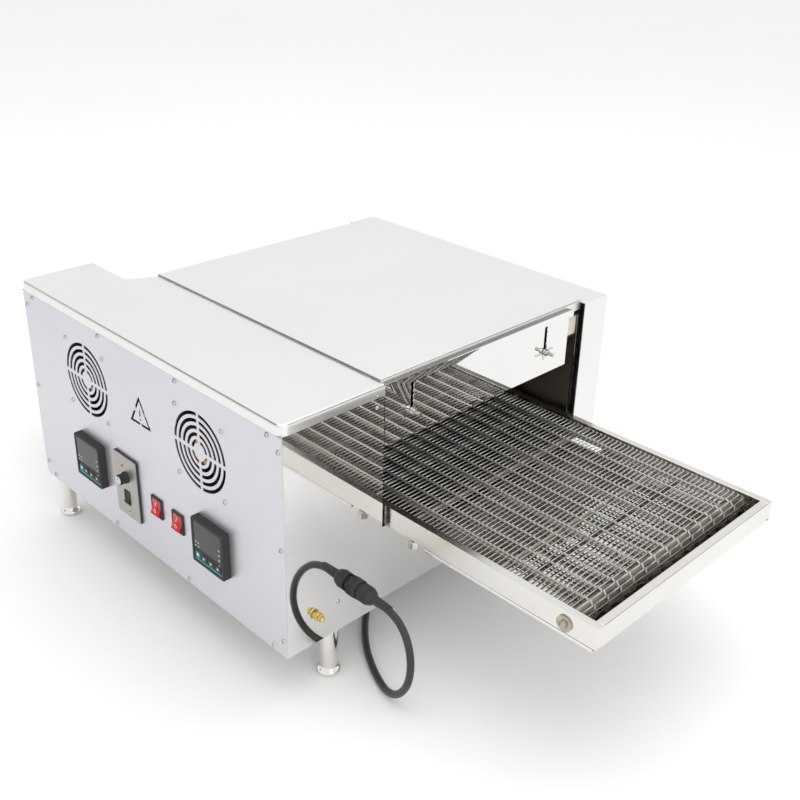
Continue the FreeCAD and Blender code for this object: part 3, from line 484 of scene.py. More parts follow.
# ---------------------------------------------------------------- repeats
def repeat_tree():
    """Put a copy of a pattern on each guide point, turned by the guide's own attribute."""
    tree = bpy.data.node_groups.get("oven_repeat")
    if tree:
        return tree
    tree = bpy.data.node_groups.new("oven_repeat", "GeometryNodeTree")
    face = tree.interface
    face.new_socket("Geometry", in_out="INPUT", socket_type="NodeSocketGeometry")
    face.new_socket("Pattern", in_out="INPUT", socket_type="NodeSocketObject")
    face.new_socket("Size", in_out="INPUT", socket_type="NodeSocketFloat").default_value = 1
    face.new_socket("Finish", in_out="INPUT", socket_type="NodeSocketMaterial")
    face.new_socket("Geometry", in_out="OUTPUT", socket_type="NodeSocketGeometry")
    add = tree.nodes.new
    start, end = add("NodeGroupInput"), add("NodeGroupOutput")
    pattern, turn = add("GeometryNodeObjectInfo"), add("GeometryNodeInputNamedAttribute")
    turn.data_type = "QUATERNION"
    turn.inputs["Name"].default_value = "turn"
    place, real, paint = (add("GeometryNodeInstanceOnPoints"), add("GeometryNodeRealizeInstances"),
                          add("GeometryNodeSetMaterial"))
    join = tree.links.new
    join(start.outputs["Geometry"], place.inputs["Points"])
    join(start.outputs["Pattern"], pattern.inputs["Object"])
    join(pattern.outputs["Geometry"], place.inputs["Instance"])
    join(turn.outputs["Attribute"], place.inputs["Rotation"])
    join(start.outputs["Size"], place.inputs["Scale"])
    join(place.outputs["Instances"], real.inputs["Geometry"])
    join(real.outputs["Geometry"], paint.inputs["Geometry"])
    join(start.outputs["Finish"], paint.inputs["Material"])
    join(paint.outputs["Geometry"], end.inputs["Geometry"])
    return tree


def repeat(pattern, places, name, finish, size=1.0, crease=CREASE):
    """Bake one mesh of a pattern repeated at (point, turn) places, then drop the pattern."""
    guide = bpy.data.meshes.new(name)
    guide.from_pydata([tuple(point) for point, turn in places], [], [])
    turns = guide.attributes.new("turn", "QUATERNION", "POINT")
    for k, (point, turn) in enumerate(places):
        turns.data[k].value = turn
    piece = add_object(name, guide)
    tree = repeat_tree()
    modifier = piece.modifiers.new("repeat", "NODES")
    modifier.node_group = tree
    values = {"Pattern": pattern, "Size": size, "Finish": finish_named(finish)}
    for item in tree.interface.items_tree:
        if item.in_out == "INPUT" and item.name in values:
            modifier[item.identifier] = values[item.name]
    bake(piece)
    if "turn" in piece.data.attributes:
        piece.data.attributes.remove(piece.data.attributes["turn"])
    smooth(piece.data, crease)
    bpy.data.objects.remove(pattern)
    return piece


def facing(direction, spin=0.0):
    """The turn that takes +Z to a direction, after a spin about +Z."""
    return Vector(direction).to_track_quat("Z", "Y") @ Quaternion((0, 0, 1), spin)


# ---------------------------------------------------------------- stage
CAMERA_SPOT = (1.122209, -0.977184, 1.012937)
CAMERA_ANGLES = (45.096, 25.842, 1.426)         # azimuth, elevation and roll in degrees
CAMERA_LENS = (47.40, 36)                       # focal length and sensor width in millimetres
CAMERA_SHIFT = (0.0023, -0.0276)


class OVEN_OT_stage(bpy.types.Operator):
    """Make the camera, the pale floor and the soft lights"""
    bl_idname = "oven.stage"
    bl_label = "Stage"

    def execute(self, context):
        scene = context.scene
        scene.view_settings.view_transform = "Standard"
        self.camera(scene)
        self.floor()
        self.lights(scene)
        return {"FINISHED"}

    def camera(self, scene):
        """A view over the panel and the outlet, turned a little about its own axis."""
        azimuth, elevation, roll = map(math.radians, CAMERA_ANGLES)
        back = Vector((math.sin(azimuth) * math.cos(elevation),
                       -math.cos(azimuth) * math.cos(elevation), math.sin(elevation)))
        level = Vector((math.cos(azimuth), math.sin(azimuth), 0))
        rise = back.cross(level)
        right = level * math.cos(roll) + rise * math.sin(roll)
        up = rise * math.cos(roll) - level * math.sin(roll)
        lens = bpy.data.cameras.new("camera")
        lens.lens, lens.sensor_width = CAMERA_LENS
        lens.shift_x, lens.shift_y = CAMERA_SHIFT
        lens.clip_start, lens.clip_end = 0.05, 60
        camera = add_object("camera", lens)
        turn = Matrix((right, up, back)).transposed().to_4x4()
        camera.matrix_world = Matrix.Translation(CAMERA_SPOT) @ turn
        scene.camera = camera

    def card(self, name, size, paint):
        """A flat square of a plain finish that belongs to the stage."""
        shape = bmesh.new()
        bmesh.ops.create_grid(shape, x_segments=1, y_segments=1, size=size)
        mesh = bpy.data.meshes.new(name)
        shape.to_mesh(mesh)
        shape.free()
        mesh.materials.append(paint.material)
        card = add_object(name, mesh)
        return card

    def floor(self):
        """Pale paper without a sheen."""
        paint = Finish("floor_paper", (0.94, 0.94, 0.94), roughness=0.9)
        paint.set({"Specular IOR Level": 0.0})
        paint.shade(paint.noise(0.7), (0.985, 0.985, 0.985))
        self.card("floor", 30, paint)

    def lights(self, scene):
        """Even white surroundings, two soft lamps and two black cards."""
        look = scene.oven_stage
        world = bpy.data.worlds.new("studio")
        world.use_nodes = True
        sky = world.node_tree.nodes["Background"]
        sky.inputs["Color"].default_value = (1, 1, 1, 1)
        sky.inputs["Strength"].default_value = look.sky
        scene.world = world
        self.lamp("overhead", (0.3, 0.2, 3.2), (0, 0, 0), 3.6, look.lamp)
        self.lamp("side", (3.4, -0.6, 1.9), (0.3, 0, 0.2), 1.8, look.lamp * 0.3)
        self.flag("left_flag", (-1.9, -1.6, 2.3), (0, -0.3, 0.4))
        self.flag("right_flag", (1.5, 1.9, 2.3), (0.2, 0, 0.4))

    def flag(self, name, place, target):
        """A black card that draws dark lines along the rounded bends of the sheet steel."""
        paint = Finish("flag_cloth", (0.02, 0.02, 0.02), roughness=0.9)
        paint.shade(paint.noise(20), (0.7, 0.7, 0.7))
        flag = self.card(name, 1.15, paint)
        self.aim(flag, place, Vector(target) - Vector(place))
        flag.visible_diffuse = flag.visible_shadow = False

    def aim(self, thing, place, direction):
        """Stand a lamp or card at a place with its +Z along a direction."""
        thing.matrix_world = Matrix.Translation(place) @ facing(direction).to_matrix().to_4x4()

    def lamp(self, name, place, target, size, power):
        """A soft square lamp; it shines against its own +Z."""
        light = bpy.data.lights.new(name, "AREA")
        light.shape, light.size, light.energy = "SQUARE", size, power
        self.aim(add_object(name, light), place, Vector(place) - Vector(target))


# ---------------------------------------------------------------- power lead
ROUTE = [
    (307, -193.4, 134), (338, -194, 134), (367, -198, 117), (384, -204, 87), (385, -209, 52.4),
    (368, -210, 22.6), (338, -204, 5.35), (294, -187, 5.35), (246, -158, 5.35), (198, -114, 5.35),
    (156, -58, 5.35), (127, 8, 5.35), (113, 84, 5.35), (108, 160, 5.35), (92, 232, 5.35),
    (72, 296, 5.35), (64, 350, 5.35), (70, 396, 5.35),
]


class OVEN_OT_power_lead(bpy.types.Operator):
    """Make the power lead with its coil, its gland and its plug"""
    bl_idname = "oven.power_lead"
    bl_label = "Power lead"

    def execute(self, context):
        lead = context.scene.oven_lead
        self.cord(lead, self.gland(lead), self.plug())
        return {"FINISHED"}

    def coil(self, lead):
        """Two turns inwards on the floor, then back out over them to the plug."""
        end = Vector(ROUTE[-1]) * MM
        centre = middle_of("power_cord_coil")
        start = math.atan2(end.y - centre.y, end.x - centre.x)
        wide = lead.thickness * 1.02
        outer, floor = lead.coil + wide * 0.9, end.z
        inner = outer - 2 * wide
        steps, climb, last = 14, 7, 0.38 * math.tau
        points = [(start + math.tau * k / steps, outer - wide * k / steps, floor)
                  for k in range(1, 2 * steps + 1)]
        for k in range(1, climb + 1):
            share = k / climb
            ease = share * share * (3 - 2 * share)
            points.append((start + last * share * 1.06, inner + (outer - inner) * share * 0.86,
                           floor + wide * min(1, ease * 1.8)))
        return [centre.xy.to_3d() + Vector((math.cos(turn) * radius, math.sin(turn) * radius, height))
                for turn, radius, height in points]

    def cord(self, lead, gland, plug):
        """The round lead: from the gland along the route, through the coil and into the plug."""
        points = [Vector(point) * MM for point in ROUTE] + self.coil(lead)
        entry = middle_of("power_plug", x=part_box("power_plug")[1].x - 16 * MM, z=13 * MM)
        points += [entry + Vector((14, 3, 1.2)) * MM, entry]
        curve = bpy.data.curves.new("power_lead", "CURVE")
        curve.dimensions, curve.resolution_u = "3D", 8
        curve.bevel_depth, curve.bevel_resolution = lead.thickness / 2, 5
        curve.use_fill_caps = True
        spline = curve.splines.new("NURBS")
        spline.points.add(len(points) - 1)
        for knot, point in zip(spline.points, points):
            knot.co = (*point, 1)
        spline.order_u = 3
        spline.use_endpoint_u = True
        curve.materials.append(finish_named("rubber_sheath"))
        cord = add_object("power_lead", curve)
        settle(cord, "oven", "black_rubber", "power_cord", "power_cord_coil")

    def gland(self, lead):
        """A screwed gland: hexagon, throat, ribbed cap and a tapered rubber boot."""
        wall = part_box("control_box")[1].x
        seat = middle_of("cable_gland", x=wall)
        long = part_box("cable_gland")[1].x - wall
        boot = lead.thickness / 2
        shape = bmesh.new()
        add_plate(shape, regular(6, 14.5 * MM, math.pi / 6), seat, INTO, UP, 8 * MM)
        add_turned(shape, disc(13.6, 1.4), seat + RIGHT * 8 * MM, RIGHT)
        add_turned(shape, disc(10.6, 5), seat + RIGHT * 9 * MM, RIGHT)
        add_plate(shape, around([12.4 * MM, 13.2 * MM] * 18), seat + RIGHT * 13.5 * MM, INTO, UP, 13 * MM)
        dome = in_mm([(0, 0), (12.3, 0), (12, 2.5), (10.6, 6), (8.4, 8.6)])
        dome += [(boot + 1.9 * MM, 9.6 * MM), (boot + 1.6 * MM, 11.5 * MM),
                 (boot + 0.6 * MM, long - 26.5 * MM), (0, long - 26.5 * MM)]
        add_turned(shape, dome, seat + RIGHT * 26.5 * MM, RIGHT)
        body = piece_from(outward(shape), "gland", "black_plastic")
        soften(body, 0.5 * MM)
        settle(body, "oven", "black_plastic", "cable_gland")
        relief = bmesh.new()
        rings, ribs = [(0, -2 * MM), (boot + 1.5 * MM, -2 * MM)], 7
        for k in range(ribs):
            share = k / ribs
            way = (lead.boot - 2 * MM) * share - MM
            radius = boot + (1.5 - share) * MM
            rings += self.rib(radius, way, 1.4, 0.45, (0.4, 1.2))
        rings += [(boot + 0.15 * MM, lead.boot), (0, lead.boot)]
        add_turned(relief, rings, seat + RIGHT * long, RIGHT)
        finished(relief, "strain_relief", "rubber_sheath", "oven", "black_rubber")
        return body

    def rib(self, radius, way, wide, deep, groove):
        """The profile of one rib and of the groove after it."""
        inside, start = radius - deep * MM, way + (wide + groove[0]) * MM
        return [(radius, way), (radius, way + wide * MM), (inside, start),
                (inside, way + (wide + groove[1]) * MM)]

    def plug(self):
        """A moulded two-pin plug on its side on the floor."""
        low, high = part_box("power_plug")
        neck = low.x + 65 * MM
        block = bmesh.new()
        add_box(block, (low.x + 19 * MM, low.y, low.z), (neck, high.y, low.z + 27 * MM))
        piece = piece_from(block, "plug", "black_plastic")
        soften(piece, 6 * MM, 4)
        shape = bmesh.new()
        shape.from_mesh(piece.data)
        bpy.data.objects.remove(piece)
        waist = in_mm([(0, 0), (12, 0), (11.4, 3)])
        for k in range(5):
            waist += self.rib((10.8 - 0.8 * k) * MM, (5 + 4.4 * k) * MM, 2.4, 1.1, (0.5, 1.5))
        waist += in_mm([(6.4, 28), (0, 28)])
        centre = middle_of("power_plug", x=neck - 3 * MM, z=13 * MM)
        add_turned(shape, waist, centre, RIGHT)
        grip = finished(shape, "power_plug_body", "black_plastic", "oven", "black_plastic", "power_plug")
        pins = bmesh.new()
        profile = in_mm([(0, 0), (1.6, 0), (2.4, 1), (2.4, 21), (0, 21)])
        for side in (-9.5 * MM, 9.5 * MM):
            add_turned(pins, profile, (low.x, centre.y + side, 13.5 * MM), RIGHT, 20)
        finished(pins, "power_plug_pins", "yellow_brass", "oven", "yellow_brass")
        return grip


# ---------------------------------------------------------------- cabinets
class OVEN_OT_cabinets(bpy.types.Operator):
    """Finish the sheet steel of the cabinets, the chamber and the feet"""
    bl_idname = "oven.cabinets"
    bl_label = "Cabinets"

    def execute(self, context):
        for node, slot, finish in (
                ("control_box", "polished_steel", "mirror_sheet"),
                ("control_box_lid", "brushed_steel", "satin_sheet"),
                ("chamber_shell", "polished_steel", "mirror_sheet"),
                ("chamber_cover", "brushed_steel", "satin_sheet"),
                ("rear_housing", "brushed_steel", "satin_sheet"),
                ("control_panel", "satin_front", "satin_panel"),
                ("chamber_liner", "dark_steel", "heated_steel"),
                ("chamber_insulation", "wool_board", "wool_board"),
                ("control_gear", "grey_plastic", "grey_moulding"),
                ("lower_heaters", "quartz_tube", "quartz_tube"),
                ("upper_heaters", "quartz_tube", "quartz_tube"),
                ("thermocouples", "screw_zinc", "bright_screw"),
                ("legs", "polished_leg", "polished_leg")):
            dress(node, "oven", slot, finish)
        # a dark strip as painted shadow in the seam under the lid
        self.lid_seal()
        return {"FINISHED"}

    def lid_seal(self):
        """A thin dark strip below the lid's front flange: painted shadow of the seam between the lid and the
        panel.
        """
        low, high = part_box("control_panel")
        shape = bmesh.new()
        add_box(shape, (low.x, low.y - 0.8 * MM, high.z - 1.0 * MM), (high.x, low.y, high.z))
        settle(piece_from(shape, "lid_seal", "dark_steel"), "oven", "black_rubber")


# ---------------------------------------------------------------- fasteners
def screw_pattern():
    """A pan-head screw with a cross recess, its head towards +Z."""
    shape = bmesh.new()
    dome = [(0, 0), (1.0, 0), (0.98, 0.22), (0.86, 0.42), (0.62, 0.56), (0.3, 0.62), (0, 0.63)]
    add_turned(shape, dome, (0, 0, 0), UP, 24)
    head = piece_from(outward(shape), "screw_pattern", "bright_screw")
    cross = bmesh.new()
    for wide, deep in ((0.62, 0.13), (0.13, 0.62)):
        add_box(cross, (-wide, -deep, 0.34), (wide, deep, 1))
    carve(head, piece_from(cross, "cross_cutter", "bright_screw"), use_self=True)
    return head


class OVEN_OT_fasteners(bpy.types.Operator):
    """Make the panel screws and the earth stud"""
    bl_idname = "oven.fasteners"
    bl_label = "Fasteners"

    def execute(self, context):
        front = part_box("control_panel")[0].y
        places = []
        for k, (low, high) in enumerate(solids("panel_screws")):
            spot = Vector(((low.x + high.x) / 2, front, (low.z + high.z) / 2))
            places.append((spot, facing(OUT, 0.5 + 1.3 * k)))
        screws = repeat(screw_pattern(), places, "panel_screw_heads", "bright_screw", 3.6 * MM)
        settle(screws, "oven", "screw_zinc", "panel_screws")
        self.side_screws()
        self.earth_stud()
        return {"FINISHED"}

    def side_screws(self):
        """Three small screws on the end face of the control cabinet."""
        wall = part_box("control_box")[1].x
        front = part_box("control_panel")[0].y
        places = [(Vector((wall, front + y * MM, z * MM)), facing(RIGHT, y)) for y, z in
                  ((87, 128), (155, 413), (155, 396))]
        screws = repeat(screw_pattern(), places, "side_screw_heads", "bright_screw", 3.0 * MM)
        settle(screws, "oven", "screw_zinc")

    def earth_stud(self):
        """A threaded stud with a washer and three nuts."""
        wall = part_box("control_box")[1].x
        seat = middle_of("earth_stud", x=wall)
        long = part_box("earth_stud")[1].x - wall
        shape = bmesh.new()
        thread = [(0, 0)]
        for k in range(int(long / MM - 1)):
            thread += in_mm([(2.5, k), (3.0, k + 0.5)])
        thread += [(2.3 * MM, long - 0.4 * MM), (0, long)]
        add_turned(shape, thread, seat, RIGHT, 20)
        add_turned(shape, disc(7, 1.2), seat + RIGHT * 3 * MM, RIGHT)
        for k, start in enumerate((0, 4.4, 9)):
            add_plate(shape, regular(6, 5.7 * MM, 0.4 * k), seat + RIGHT * start * MM, INTO, UP, 3 * MM)
        finished(shape, "earth_stud_finished", "yellow_brass", "oven", "yellow_brass", "earth_stud")


# ---------------------------------------------------------------- panel fittings
SCREEN_DEPTH = 1.6 * MM
MARK = 0.15             # thickness of a printed mark, in millimetres


class OVEN_OT_fans(bpy.types.Operator):
    """Make the two cooling fans behind their grilles"""
    bl_idname = "oven.fans"
    bl_label = "Fans"

    def execute(self, context):
        dress("fan_frames", "oven", "black_plastic", "black_plastic")
        for side in ("left", "right"):
            body = side + "_fan"
            dress(side + "_fan_rotor", body, "black_plastic", "black_plastic")
            self.winding(side, body)
        return {"FINISHED"}

    def winding(self, side, body):
        """The copper ring and the brass boss in the open face of the hub."""
        centre = middle_of(side + "_fan_rotor", y=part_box("control_panel")[0].y + 4 * MM)
        shape = bmesh.new()
        ring = in_mm([(6.4, 0), (8, 1.1), (16, 1.4), (18.4, 0.8), (19, 0), (6.4, 0)])
        add_turned(shape, ring, centre, OUT, 48)
        bmesh.ops.remove_doubles(shape, verts=shape.verts, dist=1e-6)
        add_turned(shape, in_mm([(0, 0), (5.5, 0), (5.2, 1.2), (0, 1.5)]), centre, OUT)
        finished(shape, side + "_fan_winding", "copper_winding", body, "black_plastic")


class OVEN_OT_controllers(bpy.types.Operator):
    """Make the two temperature controllers with their screens and keys"""
    bl_idname = "oven.controllers"
    bl_label = "Temperature controllers"

    def execute(self, context):
        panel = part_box("control_panel")[0].y
        for side, (low, high) in zip(("left", "right"), solids("temperature_controllers")):
            centre = Vector(((low.x + high.x) / 2, low.y, (low.z + high.z) / 2))
            self.bezel(side, centre, low, high, panel)
            self.screen(side, centre)
            for k in (1, 2, 3):
                self.key(side, k)
        return {"FINISHED"}

    def bezel(self, side, centre, low, high, panel):
        """A square frame with a bevelled rim, a sunk face and the body behind the panel."""
        shape, loops = bmesh.new(), []
        for inset, corner, y in ((0, 2.2, panel), (0, 2.2, low.y + 1.2 * MM), (0.8, 1.6, low.y),
                                 (4.2, 1.2, low.y + 0.4 * MM), (4.2, 1.2, low.y + SCREEN_DEPTH)):
            side_length = high.x - low.x - 2 * inset * MM
            outline = rounded_rectangle(side_length, side_length, corner * MM)
            loops.append([shape.verts.new((centre.x + u, y, centre.z + v)) for u, v in outline])
        join_loops(shape, loops)
        shape.faces.new(loops[-1])
        shape.faces.new(loops[0][::-1])
        half = 33.6 * MM
        add_box(shape, (centre.x - half, panel, centre.z - half), (centre.x + half, high.y, centre.z + half))
        finished(shape, side + "_controller", "black_plastic", "oven", "black_plastic",
                 "temperature_controllers")

    def screen(self, side, centre):
        """Dark window, stripe and marks, each a thin plate in the bezel."""
        face = centre + INTO * SCREEN_DEPTH
        glass, stripe, marks = bmesh.new(), bmesh.new(), bmesh.new()
        led = face - RIGHT * 24.6 * MM - UP * 22.6 * MM
        for shape, wide, tall, corner, spot, thick in (
                (glass, 61.5, 41, 1.5, face + UP * 10.5 * MM, 0.7),
                (stripe, 62, 2.6, 0.6, face - UP * 30 * MM, 0.5),
                (stripe, 9.6, 8.4, 0.8, led, 0.5)):
            outline = rounded_rectangle(wide * MM, tall * MM, corner * MM)
            add_plate(shape, outline, spot, RIGHT, UP, thick * MM)
        dots = [(u, v) for u in (-27.5, -21) for v in (-8, -1.5)] + [(26.5, -14.5 + 8 * k) for k in range(4)]
        for u, v in dots:
            spot = face + (RIGHT * u + UP * v + OUT * 0.7) * MM
            add_plate(marks, rounded_rectangle(3 * MM, 1.5 * MM, 0.4 * MM, 2), spot, RIGHT, UP, 0.12 * MM)
        add_turned(marks, disc(2.2, MARK), led + OUT * 0.5 * MM, OUT, 24)
        finished(glass, side + "_screen", "screen_glass", "oven", "black_plastic")
        finished(stripe, side + "_stripe", "accent_print", "oven", "black_plastic")
        finished(marks, side + "_marks", "white_print", "oven", "key_white")

    def key(self, side, k):
        """A rubber key with a raised white sign: back, down or up."""
        node = "%s_key_%d" % (side, k)
        low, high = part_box(node)
        shape = bmesh.new()
        add_box(shape, low, high)
        cap = piece_from(shape, node + "_cap", "key_rubber")
        soften(cap, 0.9 * MM, 3)
        settle(cap, node, "key_white", node)
        turn = {1: math.pi / 3, 2: -math.pi / 2, 3: math.pi / 2}[k]
        mark = bmesh.new()
        add_plate(mark, regular(3, 2.5 * MM, turn), middle_of(node, y=low.y), RIGHT, UP, MARK * MM)
        finished(mark, node + "_mark", "white_print", node, "key_white")


def rocker_piece(node, finish):
    """A merged copy of a rocker with rounded edges."""
    piece = piece_from(merged_copy(node), node + "_finished", finish)
    return soften(piece, 0.8 * MM, 3)


class OVEN_OT_switches(bpy.types.Operator):
    """Make the two lit rockers and the speed control"""
    bl_idname = "oven.switches"
    bl_label = "Switches"

    def execute(self, context):
        dress("rocker_bezels", "oven", "black_plastic", "black_plastic")
        for side in ("left", "right"):
            node = side + "_power_rocker"
            settle(rocker_piece(node, "red_rocker"), node, "red_plastic", node)
            self.marks(node)
        self.speed_plate()
        self.speed_knob()
        settle(rocker_piece("run_rocker", "black_plastic"), "run_rocker", "black_plastic", "run_rocker")
        return {"FINISHED"}

    def marks(self, node):
        """A bar on the upper half of a rocker and a ring on the lower."""
        pivot = Vector(next(j["pos_m"] for j in frame["joints"] if j["child"] == node))
        turn = Matrix.Rotation(-math.radians(12), 3, "X")
        rise, run, crest = 2.5, 12, 5.5
        shape = bmesh.new()
        for way in (5.2, -5.4):
            slope = math.copysign(math.atan2(rise, run), way)
            face_up = turn @ Vector((0, math.sin(slope), math.cos(slope)))
            spot = pivot + turn @ Vector((0, abs(way) * rise / run - crest, way)) * MM
            if way > 0:
                bar = rounded_rectangle(1.4 * MM, 5.6 * MM, 0.6 * MM, 3)
                add_plate(shape, bar, spot, RIGHT, face_up, MARK * MM)
            else:
                ring = in_mm([(2.1, 0), (3.1, 0), (3.1, MARK), (2.1, MARK), (2.1, 0)])
                add_turned(shape, ring, spot, RIGHT.cross(face_up), 28)
        bmesh.ops.remove_doubles(shape, verts=shape.verts, dist=1e-7)
        finished(shape, node + "_marks", "white_print", node, "key_white")

    def speed_plate(self):
        """A plate on a dark gasket with its collar, scale, lamp and two screws."""
        low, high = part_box("speed_control")
        knob = middle_of("speed_knob", y=low.y)
        run = middle_of("run_rocker", y=low.y)
        dress("speed_control", "oven", "grey_plate", "grey_plate", 0.5 * MM)
        gasket = bmesh.new()
        outline = rounded_rectangle(high.x - low.x + 0.6 * MM, high.z - low.z + 0.6 * MM, 1.5 * MM)
        seat = middle_of("speed_control", y=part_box("control_panel")[0].y)
        add_plate(gasket, outline, seat, RIGHT, UP, 3.2 * MM)
        finished(gasket, "speed_gasket", "black_plastic", "oven", "black_plastic")
        trim, hole = bmesh.new(), bmesh.new()
        add_plate(trim, rounded_rectangle(15.5 * MM, 24 * MM, 1.5 * MM), run, RIGHT, UP, 0.9 * MM)
        collar = piece_from(outward(trim), "run_rocker_collar", "black_plastic")
        reach = Vector((5.8, 3, 9)) * MM
        add_box(hole, run - reach, run + reach)
        carve(collar, piece_from(hole, "collar_cutter", "black_plastic"))
        settle(collar, "oven", "black_plastic")
        scale = bmesh.new()
        for k in range(11):
            turn = math.radians(-135 + 27 * k)
            spot = knob + (RIGHT * math.sin(turn) + UP * math.cos(turn)) * 13 * MM
            add_turned(scale, disc(0.55, 0.12), spot, OUT, 12)
        finished(scale, "speed_scale", "white_print", "oven", "key_white")
        lamp = bmesh.new()
        add_turned(lamp, in_mm([(0, 0), (1.8, 0), (1.7, 0.8), (1, 1.4), (0, 1.6)]),
                   knob + Vector((-7.5, 0, 17)) * MM, OUT, 24)
        finished(lamp, "speed_lamp", "red_lamp", "oven", "red_plastic")
        places = [(Vector((knob.x, low.y, z)), facing(OUT, 1 + z * 90))
                  for z in (low.z + 6 * MM, high.z - 6 * MM)]
        screws = repeat(screw_pattern(), places, "speed_screws", "bright_screw", 3.1 * MM)
        settle(screws, "oven", "screw_zinc")

    def speed_knob(self):
        """A fluted black skirt with a turned bright cap."""
        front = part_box("speed_knob")[0].y
        tip = middle_of("speed_knob", y=front)
        base = tip + INTO * 13 * MM
        skirt, cap, line = bmesh.new(), bmesh.new(), bmesh.new()
        add_plate(skirt, around([7.5 * MM, 8.1 * MM] * 24), base + OUT * 2.6 * MM, RIGHT, UP, 9.6 * MM)
        add_turned(skirt, in_mm([(0, 0), (9.3, 0), (9.3, 1.6), (8.4, 2.8), (0, 2.8)]), base, OUT)
        finished(skirt, "speed_knob_skirt", "black_plastic", "speed_knob", "black_plastic", "speed_knob")
        profile = [(0, 0), (7.3, 0), (7.3, 1.0), (6.6, 1.8), (5.6, 1.9), (5.2, 1.6), (0, 1.6)]
        add_turned(cap, in_mm(profile), tip + INTO * 1.9 * MM, OUT, 40)
        finished(cap, "speed_knob_cap", "bright_screw", "speed_knob", "screw_zinc")
        add_box(line, tip + Vector((-0.5, 0.12, 1)) * MM, tip + Vector((0.5, 0.6, 6)) * MM)
        settle(piece_from(line, "speed_knob_line", "black_plastic"), "speed_knob", "black_plastic")


# ---------------------------------------------------------------- curtains
# Sections of a wing nut's ear: reach, lift, thickness and width in millimetres.
EAR = ((3.6, 1.6, 1.9, 3.1), (6.5, 2.3, 1.7, 3.6), (9.5, 4.0, 1.4, 4.3), (12.2, 5.8, 1.2, 4.0),
       (13.6, 7.0, 0.9, 2.2))


class OVEN_OT_curtains(bpy.types.Operator):
    """Finish the two drop curtains with their studs and wing nuts"""
    bl_idname = "oven.curtains"
    bl_label = "Curtains"

    def execute(self, context):
        dress("curtain_studs", "oven", "screw_zinc", "bright_screw")
        for end, side in (("outlet", 1), ("inlet", -1)):
            dress(end + "_curtain", end + "_curtain", "polished_steel", "mirror_sheet")
            for k, spin in ((1, 62), (2, 118)):
                self.wing_nut("%s_wing_nut_%d" % (end, k), side, math.radians(spin))
        return {"FINISHED"}

    def wing_nut(self, node, side, spin):
        """A round hub with two swept ears that thin towards their rims."""
        low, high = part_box(node)
        centre = middle_of(node, x=low.x if side > 0 else high.x)
        axis = RIGHT * side
        shape = bmesh.new()
        hub = [(2.6, 0), (5.4, 0), (5.4, 1.2), (4.6, 5.6), (4.0, 7), (2.6, 7), (2.6, 0)]
        add_turned(shape, in_mm(hub), centre, axis, 28)
        bmesh.ops.remove_doubles(shape, verts=shape.verts, dist=1e-7)
        for way in (0, math.pi):
            swing = Quaternion(axis, (spin if side > 0 else -spin) + way)
            out = swing @ UP
            across = axis.cross(out)
            loops = []
            for reach, lift, thick, wide in EAR:
                middle = centre + out * reach * MM + axis * lift * MM
                loops.append([shape.verts.new(middle + (across * math.cos(t) * thick / 2
                                                        + axis * math.sin(t) * wide / 2) * MM)
                              for t in (math.tau * k / 12 for k in range(12))])
            join_loops(shape, loops)
            shape.faces.new(loops[0])
            shape.faces.new(loops[-1])
        finished(shape, node + "_finished", "bright_screw", node, "screw_zinc", node, crease=50)


# ---------------------------------------------------------------- belt and deck
# The bends of a hook: pitches back along the belt, hook widths to the side, raised or not.
HOOK = ((0, -1, 0), (0.25, -0.62, 1), (1.16, -0.42, 1), (1.16, 0.42, 1), (0.25, 0.62, 1), (0, 1, 0))


def loop_station(way, reach, radius, height):
    """Where a rod lies on the loop, how it is turned, and if it is on the upper half."""
    half_turn = math.pi * radius
    if way < 2 * reach:
        return Vector((-reach + way, 0, height + radius)), Quaternion(), True
    way -= 2 * reach
    if way < half_turn:
        angle = way / radius
        spot = Vector((reach + radius * math.sin(angle), 0, height + radius * math.cos(angle)))
        return spot, Quaternion((0, 1, 0), angle), angle < math.pi / 2
    way -= half_turn
    if way < 2 * reach:
        return Vector((reach - way, 0, height - radius)), Quaternion((0, 1, 0), math.pi), False
    angle = math.pi + (way - 2 * reach) / radius
    spot = Vector((-reach + radius * math.sin(angle), 0, height + radius * math.cos(angle)))
    return spot, Quaternion((0, 1, 0), angle), angle > 1.5 * math.pi


